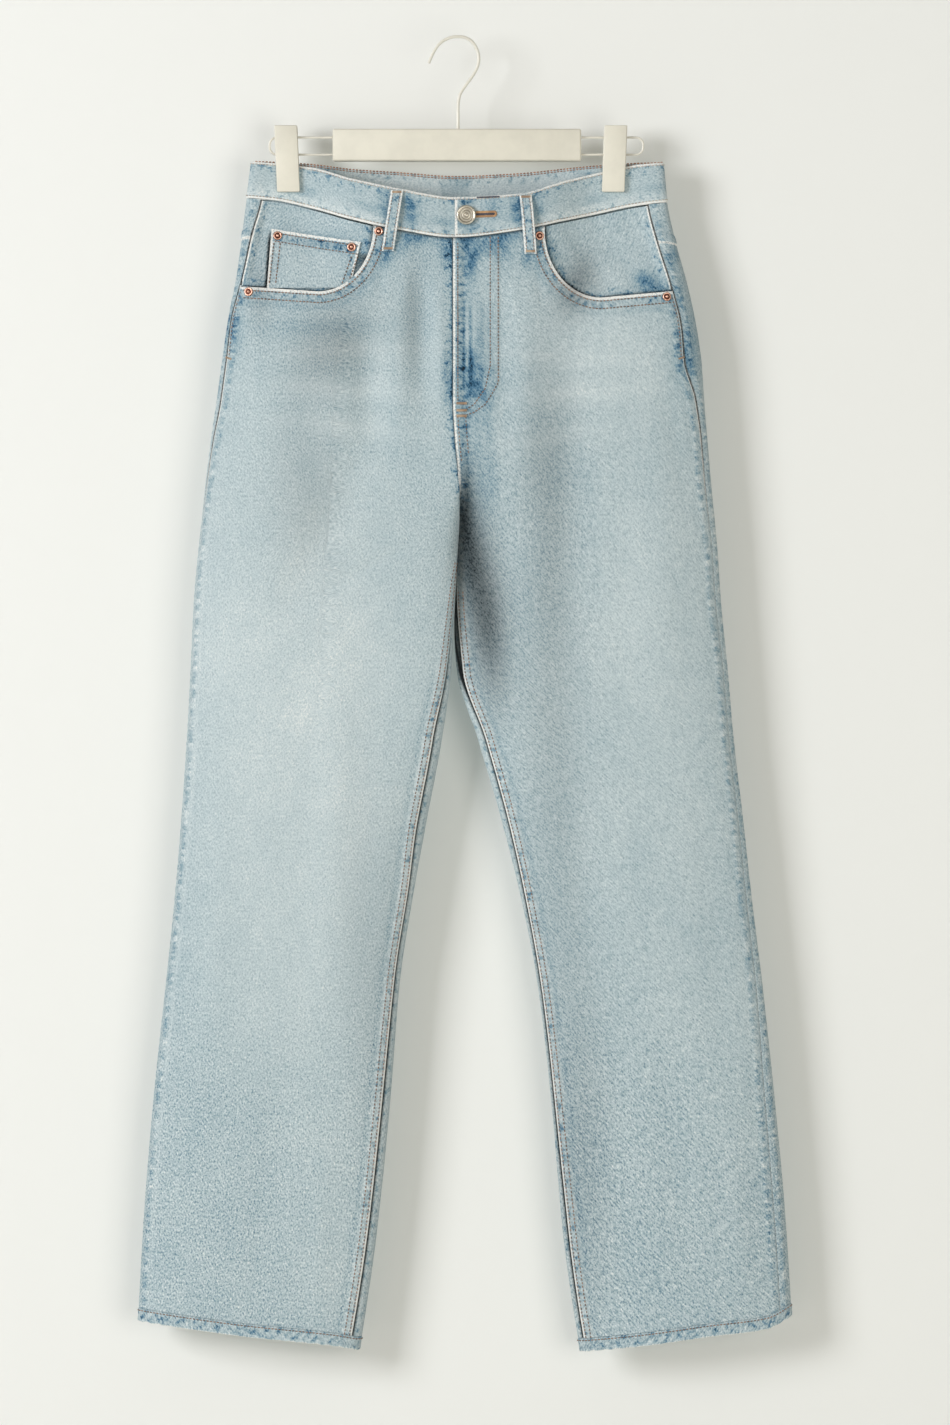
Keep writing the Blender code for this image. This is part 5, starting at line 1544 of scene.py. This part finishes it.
# Millimetres a pixel of the photograph, the pixel of the frame's origin, and places in pixels.
PHOTO_SCALE, ORIGIN_PX, ORIGIN_PY = 0.9, 458, 37
FLY_ROWS = (
    ((498, 237), (498, 383), (492, 394), (485, 405), (474, 413), (465, 416)),
    ((490, 237), (490, 366), (485, 389), (474, 405), (465, 411)),
)
FLY_TACKS = ((461.5, 404), (461.5, 411), (461.5, 416.5))
BUTTONHOLE = ((475, 215.2), (494, 214.6))
BAND_TOP_BAR = (488, 197.8)


def photo_mm(*points):
    """Places of the photograph's pixels in millimetres."""
    return [((px - ORIGIN_PX) * PHOTO_SCALE, (ORIGIN_PY - py) * PHOTO_SCALE) for px, py in points]


def sew_fly(tan, brown):
    sew_beside(brown, WEARER_LEFT, "inner", 3.6, WAIST_SEAM - 6.0, -330.0)
    for row in FLY_ROWS:
        sew_line(brown, FRONT, *zip(*photo_mm(*row)), 0.45)
    for x, z in photo_mm(*FLY_TACKS):
        bar_tack(tan, FRONT, x, z, 0.0, 9.5, 2.6, FLY_LIFT)
    sew_beside(brown, WEARER_LEFT, "inner", 3.2, -343.0, -381.0)
    sew_beside(brown, WEARER_LEFT, "inner", 9.2, -343.0, -374.0)


def sew_inseams(brown):
    for side in SIDES:
        top = -474.0 if side == WEARER_RIGHT else -500.0
        for d in (3.0, 7.6):
            sew_beside(brown, side, "inner", d, top, HEM_SEAM + 1.0, radius=0.54)


def sew_hips(brown, tan):
    """Edge stitching down the hip's side seam to its bar tack."""
    for side in SIDES:
        sew_beside(brown, side, "outer", 2.2, -232.0, -286.0)
        z = -289.0
        angle, _, _ = front_edge_angles(side, np.array([z]), "outer", 2.2)
        x = float(on_cloth(side, FRONT, angle, np.array([z]))[0, 0])
        bar_tack(tan, FRONT, x, z, 0.35 * side, 6.0, 1.8, 0.2)


def sew_pocket_mouths(brown):
    for side in SIDES:
        for grow in (3.4, 10.2):
            xs, zs = scoop_edge(side, grow)
            seam = curve(WST["x"], WST["seam_front"], xs)
            on_panel = zs < seam - 2.0
            line = np.stack([xs[on_panel], zs[on_panel]])
            sew_line(brown, FRONT, *line, mouth_relief(np.array(grow)) + 0.25, radius=0.56)


def sew_coin_pocket(brown):
    (x0, z0), (x1, z1) = COIN_TOP
    (x2, z2), (x3, z3) = COIN_LOW
    for drop in (3.6, 11.2):
        sew_line(brown, FRONT, (x0 + 2, x1 - 2), (z0 - drop, z1 - drop), 0.05)
    for inset in (2.2, 8.0):
        sew_line(brown, FRONT, (x0 + inset, x2 + inset), (z0 - 12.5, z2 + 4), 0.1)
        share = 0.82 if inset < 5 else 0.92
        low_x, low_z = x1 + (x3 - x1) * share, z1 + (z3 - z1) * share
        sew_line(brown, FRONT, (x1 - inset, low_x - inset), (z1 - 12.5, low_z), 0.1)


def band_row(sewing, stations, height, out, flip=1, **sizes):
    """A row along the waistband at one height, over (side, face, angle) stations."""
    spots, skins = [], []
    for side, face, angle in stations:
        a, z = np.array([angle]), np.array([height])
        skin = normals(side, face, a, z)[0]
        base = on_cloth(side, face, a, z)[0]
        near = float(ease(abs(base[0] + 3), LAP_EASE, 0)) * (face == FRONT)
        shift = near * (LAP_RISE if side == WEARER_LEFT else -LAP_DROP)
        spots.append(base + skin * (out + shift))
        skins.append(skin * flip)
    sewing.row(*at_pitch(np.array(spots), np.array(skins)), **sizes)


def sew_band(pale, brown):
    half = np.linspace(0, math.pi, 90)
    left = [(WEARER_LEFT, FRONT, a) for a in half[:0:-1]] + [(WEARER_LEFT, BACK, a) for a in half]
    right = [(WEARER_RIGHT, BACK, a) for a in half[::-1]] + [(WEARER_RIGHT, FRONT, a) for a in half[1:]]
    ring = left + right
    face_out, inside_out = BAND_OUT + ABOVE_CLOTH, BAND_OUT - BAND_WALL - ABOVE_CLOTH
    band_row(pale, ring, BAND_TOP - 2.2, face_out)
    band_row(pale, ring, WAIST_SEAM + 2.4, face_out)
    band_row(brown, ring, BAND_TOP - 1.6, inside_out, flip=-1)
    band_row(brown, ring, WAIST_SEAM + 2.6, inside_out, flip=-1)
    back = ring[len(left) // 2 : len(left) + len(right) // 2]
    band_row(brown, back, BAND_TOP + 0.2, BAND_OUT - BAND_WALL / 2 - 0.5, radius=0.7)


def sew_loops(tan, brown):
    for f in LOOP_ROWS:
        down = np.linspace(0.08, 0.92, 17)
        x, z, out = loop_line(f, down)
        spots, skins = place(f["face"], x, z)
        for aside in (-0.30, 0.30):
            shifted = spots + np.array([aside * LOOP_WIDTH, 0, 0])
            brown.row(shifted + skins * (out + LOOP_THICK)[:, None], skins, radius=0.36)
        for end in (0.035, 0.955):
            x, z, out = (float(v) for v in loop_line(f, np.array(end)))
            bar_tack(tan, f["face"], x, z, 0.0, 8.6, 2.6, out + LOOP_THICK - 0.2)


def sew_hems(brown):
    for side in SIDES:
        for face in (FRONT, BACK):
            z = np.full(75, HEM_LINE + 10.0)
            angle = np.linspace(0.02, math.pi - 0.02, len(z))
            spots, skins = cloth(side, face, angle, z, HEM_OUT + 0.25), normals(side, face, angle, z)
            brown.row(*at_pitch(spots, skins), radius=0.55)


def sew_back(tan, brown):
    for side in SIDES:
        mid, half = side * BACK_POCKET["centre_x"], BACK_POCKET["top_width"] / 2 - 3
        x = np.linspace(CENTRE_X + side * 3.0, side * 192.0, 40)
        share = np.abs(x - CENTRE_X) / 196.0
        for rise in (2.2, 7.6):
            level = yoke_seam(share) + rise
            sew_line(brown, BACK, x, level + lift(BACK, x, level), 0.75)
        across = np.concatenate([np.full(12, -1.0), np.linspace(-1, 1, 25), np.full(12, 1.0)])
        down = np.concatenate([np.linspace(0.02, 1, 12), np.ones(25), np.linspace(1, 0.02, 12)])
        for inset in (2.4, 8.2):
            shrink = 1 - inset / 70.0
            xs, zs = back_pocket_grid(across * shrink, down)
            zs = np.where(down > 0.98, zs + inset * 0.9, zs)
            sew_line(brown, BACK, xs + mid, zs, 1.35)
        for drop in (3.0, 14.0):
            sew_line(brown, BACK, (mid - half, mid + half), (BACK_POCKET["top_z"] - drop,) * 2, 1.4)
        for corner in (-1, 1):
            x = mid + corner * (half - 0.5)
            bar_tack(tan, BACK, x, BACK_POCKET["top_z"] - 4.0, math.pi / 2, 7.0, 2.0, 1.5)
    for aside in (1.8, 7.4):
        zs = np.linspace(-224.0, CLEFT_BACK, 60)
        sew_line(brown, BACK, np.full(len(zs), CENTRE_X + aside), zs, 0.9)


def sew_buttonhole(tan, navy_and_slot_shade):
    """Close stitches round a slot painted dark as its shade, pointing away from the button, and a bar at the
    band's top.
    """
    (x0, z0), (x1, z1) = photo_mm(*BUTTONHOLE)
    xs = np.arange(x0, x1, 0.6)
    level = z0 + (z1 - z0) * (xs - x0) / (x1 - x0)
    out = BAND_OUT + LAP_RISE * ease(xs + 3, LAP_EASE, 0)
    for aside in (-1.9, 1.9):
        spots, skins = place(FRONT, xs, level + aside, out + 0.3)
        tan.add(spots, np.array([0.0, 0.0, 1.0]), skins, length=2.3, radius=0.5)
    # Painted shade: two dark rows that stand for the shaded slit of the buttonhole.
    for aside in (-0.4, 0.4):
        spots, skins = place(FRONT, xs, level + aside, out + 0.1)
        navy_and_slot_shade.row(spots, skins, length=1.4, radius=0.6)
    for turn in np.linspace(-1.4, 1.4, 9):
        x, z = x1 + 1.6 * math.cos(turn), z1 + 1.9 * math.sin(turn)
        spots, skins = place(FRONT, np.array([x]), np.array([z]), BAND_OUT + 0.5)
        tan.add(spots, np.array([math.cos(turn), 0.0, math.sin(turn)]), skins, length=2.4, radius=0.5)
    (bar_x, bar_z), = photo_mm(BAND_TOP_BAR)
    bar_tack(navy_and_slot_shade, FRONT, bar_x, bar_z, 0.04, 21.0, 1.4, BAND_OUT)


THREAD_GROUPS = (
    ("thread_tan", THREAD), ("thread_brown", THREAD_DARK), ("thread_pale", THREAD_PALE),
    ("thread_buttonhole", THREAD_ORANGE), ("thread_rust", THREAD_RUST), ("thread_navy_and_slot_shade", THREAD_NAVY_AND_SLOT_SHADE),
)


def sewing():
    groups = [Sewing(name, look) for name, look in THREAD_GROUPS]
    tan, brown, pale, orange, rust, navy_and_slot_shade = groups
    sew_fly(tan, brown)
    sew_inseams(brown)
    sew_hips(brown, tan)
    sew_pocket_mouths(brown)
    sew_coin_pocket(brown)
    sew_band(pale, rust)
    sew_loops(tan, brown)
    sew_hems(brown)
    sew_back(tan, brown)
    sew_buttonhole(orange, navy_and_slot_shade)
    for group in groups:
        group.make()


sewing()

# Button and rivets, turned about the cloth's normal.

# Radius, height off the cloth, and how dark with age.
BUTTON_PROFILE = (
    (0.0, 2.75, 0.0), (1.1, 2.7, 0.0), (1.6, 2.45, 0.6), (2.0, 2.4, 0.6), (2.5, 2.55, 0.0),
    (3.4, 2.55, 0.0), (3.9, 2.35, 0.6), (4.3, 2.3, 0.6), (4.8, 2.45, 0.0), (5.8, 2.45, 0.0),
    (6.3, 2.35, 0.7), (6.7, 2.5, 0.6), (7.2, 2.85, 0.0), (7.7, 2.95, 0.0), (8.2, 2.8, 0.0),
    (8.7, 2.2, 0.3), (8.8, 1.6, 0.7), (8.5, 0.7, 1.0),
    (8.0, 0.45, 1.0), (0.0, 0.45, 1.0),
)
RIVET_PROFILE = (
    (0.0, 2.2, 0.0), (0.8, 2.1, 0.0), (1.3, 1.7, 0.3), (1.6, 1.1, 1.0), (2.3, 0.9, 1.0), (2.7, 1.15, 0.4),
    (3.1, 1.3, 0.0), (3.6, 1.15, 0.0), (3.95, 0.75, 0.3), (4.1, 0.35, 0.9), (3.9, 0.2, 1.0),
    (0.0, 0.2, 1.0),
)


def turned(node, profile, out, sides, look, slot):
    """A turned piece at its node's place, seated on cloth that stands off the plain form by out."""
    low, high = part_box(node)
    middle = (Vector(low) + Vector(high)) / 2 / MM
    foot, skin = place(FRONT, np.array([middle.x]), np.array([middle.z]), out)
    axis = Vector(skin[0]).normalized()
    across = axis.orthogonal().normalized()
    up = axis.cross(across)
    base = Vector(foot[0])
    rings = []
    for r, h, _ in profile:
        r = max(r, 0.02)
        turn = np.linspace(0, 2 * math.pi, sides, endpoint=False)
        rings.append([base + axis * h + (across * math.cos(a) + up * math.sin(a)) * r for a in turn])
    piece = swept(f"metal_{node}", np.array(rings, float), None, None, [look], smooth_angle=50)
    darkness = np.repeat(np.array([dark for _, _, dark in profile], np.float32), sides)
    piece.data.attributes.new("groove", "FLOAT", "POINT").data.foreach_set("value", darkness)
    stands_for(node)


# How far the dressed cloth stands off the plain form under each rivet.
RIVET_SEATS = {
    "rivet_hip_r": 0.7, "rivet_hip_l": 0.7, "rivet_seam_r": 0.8, "rivet_seam_l": 0.8,
    "rivet_coin_outer": -0.1, "rivet_coin_inner": 0.0,
}


def metalwork():
    turned("button", BUTTON_PROFILE, BAND_OUT + LAP_RISE, 64, BRASS, "button_metal")
    for node, out in RIVET_SEATS.items():
        turned(node, RIVET_PROFILE, out, 40, COPPER, "rivet_copper")


metalwork()

# The hanger: its solids with rounded edges, and nodes that keep their own mesh.


def rounded_edges(body, edges, radius, segments):
    bmesh.ops.bevel(
        body, geom=edges, offset=radius * MM, segments=segments, profile=0.5, affect="EDGES",
        clamp_overlap=True,
    )


def softened(node, look, radius, corner=0.0, lean=0.0):
    """A copy of a node's solid with its edges rounded, its lower corners more so, and leaning a little."""
    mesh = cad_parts[node].data.copy()
    low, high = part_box(node)
    body = bmesh.new()
    body.from_mesh(mesh)
    bmesh.ops.remove_doubles(body, verts=body.verts, dist=1e-5)
    if corner:
        rounded_edges(body, [
            edge for edge in body.edges
            if max(v.co.z for v in edge.verts) < low[2] + 1 * MM
            and abs(edge.verts[0].co.y - edge.verts[1].co.y) > 0.9 * edge.calc_length()
            and len(edge.link_faces) == 2 and edge.calc_face_angle(0) > 0.6
        ], corner, 4)
    sharp = [edge for edge in body.edges if len(edge.link_faces) == 2 and edge.calc_face_angle(0) > 0.6]
    rounded_edges(body, sharp, radius, 3)
    for vertex in body.verts:
        vertex.co.x += lean * ((low[2] + high[2]) / 2 - vertex.co.z)
    body.to_mesh(mesh)
    body.free()
    mesh.materials.clear()
    mesh.materials.append(look)
    mesh.polygons.foreach_set("material_index", [0] * len(mesh.polygons))
    mesh.shade_smooth()
    mesh.set_sharp_from_angle(angle=math.radians(40))
    piece = added(f"smooth_{node}", mesh)
    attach(piece, "root")
    stands_for(node)


CLIP_CORNER, CLIP_LEAN = 2.2, 0.042
softened("hanger_bar", PLASTIC, 0.9)
for side in SIDES:
    softened(f"clip_{side_name(side)}", PLASTIC, 0.7, CLIP_CORNER, -side * CLIP_LEAN)

KEPT_LOOKS = {
    "fly_shield": INSIDE, "zip": TAPE, "hanger_hook": WIRE, "hanger_wire_r": WIRE, "hanger_wire_l": WIRE,
}
for node, look in KEPT_LOOKS.items():
    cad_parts[node].material_slots[0].material = look

# Camera: square on, at the photograph's framing.
PHOTO_HIGH = 1425
VIEW_CENTRE = Vector((15.3, -12.0, -607.95)) * MM
VIEW_DISTANCE = 6.5
SENSOR = 36.0

camera_data = bpy.data.cameras.new("camera")
camera_data.sensor_width = SENSOR
camera_data.lens = SENSOR * VIEW_DISTANCE / (PHOTO_HIGH * PHOTO_SCALE * MM)
camera_data.clip_end = 60
camera = added("camera", camera_data)
camera.location = VIEW_CENTRE - Vector((0, VIEW_DISTANCE, 0))
camera.rotation_euler = (math.pi / 2, 0, 0)
bpy.context.scene.camera = camera

# Studio: a pale floor below the view, a pale sheet close behind that takes the soft shadows and
# shows from the front only, a plain backdrop far round all, and soft lights.
FLOOR_Z, FLOOR_RADIUS, BACKDROP_RADIUS = -2.0, 3.9, 12.0
SHEET_Y, SHEET_WIDE, SHEET_HIGH = 0.040, 3.2, 3.0
BACKDROP_COLOUR = linear(238, 238, 231)


def plain_material(name, base, glow=(0, 0, 0), strength=0.0):
    g = Graph(name)
    g.finish(
        Base_Color=(*base, 1), Roughness=0.9, Specular_IOR_Level=0.1, Emission_Color=(*glow, 1),
        Emission_Strength=strength,
    )
    return g


def studio():
    at_floor, at_middle, upright = (0, 0, FLOOR_Z), (0, 0, -0.6), (math.pi / 2, 0, 0)
    bpy.ops.mesh.primitive_circle_add(
        vertices=96, radius=FLOOR_RADIUS, fill_type="NGON", location=at_floor
    )
    floor = bpy.context.object
    floor.name = "floor"
    floor.data.materials.append(plain_material("floor_pale", linear(226, 226, 220)).material)
    bpy.ops.mesh.primitive_uv_sphere_add(
        segments=48, ring_count=24, radius=BACKDROP_RADIUS, location=at_middle
    )
    backdrop = bpy.context.object
    backdrop.name = "backdrop"
    backdrop.data.materials.append(plain_material("backdrop_pale", (0, 0, 0), BACKDROP_COLOUR, 1.0).material)
    bpy.ops.mesh.primitive_plane_add(size=1, location=(0, SHEET_Y, VIEW_CENTRE.z), rotation=upright)
    sheet = bpy.context.object
    sheet.name = "backdrop_near"
    sheet.scale = (SHEET_WIDE, SHEET_HIGH, 1)
    near = plain_material("backdrop_near_pale", linear(243, 243, 238))
    facing = near.tree.nodes.new("ShaderNodeNewGeometry").outputs["Backfacing"]
    clear = near.tree.nodes.new("ShaderNodeBsdfTransparent").outputs[0]
    mixed = near.tree.nodes.new("ShaderNodeMixShader")
    near.set(mixed.inputs[0], facing)
    near.set(mixed.inputs[1], near.shader.outputs[0])
    near.set(mixed.inputs[2], clear)
    near.set(near.tree.nodes["Material Output"].inputs["Surface"], mixed.outputs[0])
    sheet.data.materials.append(near.material)
    for thing in (backdrop, sheet):
        thing.visible_diffuse = False
        thing.visible_glossy = False
        thing.visible_shadow = False


LIGHT_COLUMNS = ("name", "place", "aim", "size", "watts", "colour")
LIGHTS = (
    ("key_left", (-3.0, -3.0, 0.35), (0.05, 0.0, -0.6), 1.6, 101.0, (0.985, 1.0, 1.045)),
    ("fill_front", (2.0, -4.0, -1.1), (0.1, 0.0, -0.75), 2.4, 50.0, (1.0, 0.99, 0.95)),
    ("rim_back", (-1.5, 2.6, 0.4), (0.0, 0.0, -0.6), 2.4, 45.0, (1.0, 0.995, 0.98)),
)
SKY_COLOUR, SKY_STRENGTH = (1.0, 0.985, 0.93, 1), 0.34


def lights():
    for light in rows_of(LIGHTS, LIGHT_COLUMNS):
        data = bpy.data.lights.new(light["name"], "AREA")
        data.shape = "SQUARE"
        data.size = light["size"]
        data.energy = light["watts"]
        data.color = light["colour"]
        lamp = added(light["name"], data)
        lamp.location = light["place"]
        aim = Vector(light["aim"]) - Vector(light["place"])
        lamp.rotation_euler = aim.to_track_quat("-Z", "Y").to_euler()
    world = bpy.data.worlds.new("soft_room")
    bpy.context.scene.world = world
    world.use_nodes = True
    sky = world.node_tree.nodes["Background"]
    sky.inputs["Color"].default_value = SKY_COLOUR
    sky.inputs["Strength"].default_value = SKY_STRENGTH


studio()
lights()
bpy.context.scene.view_settings.view_transform = "Standard"
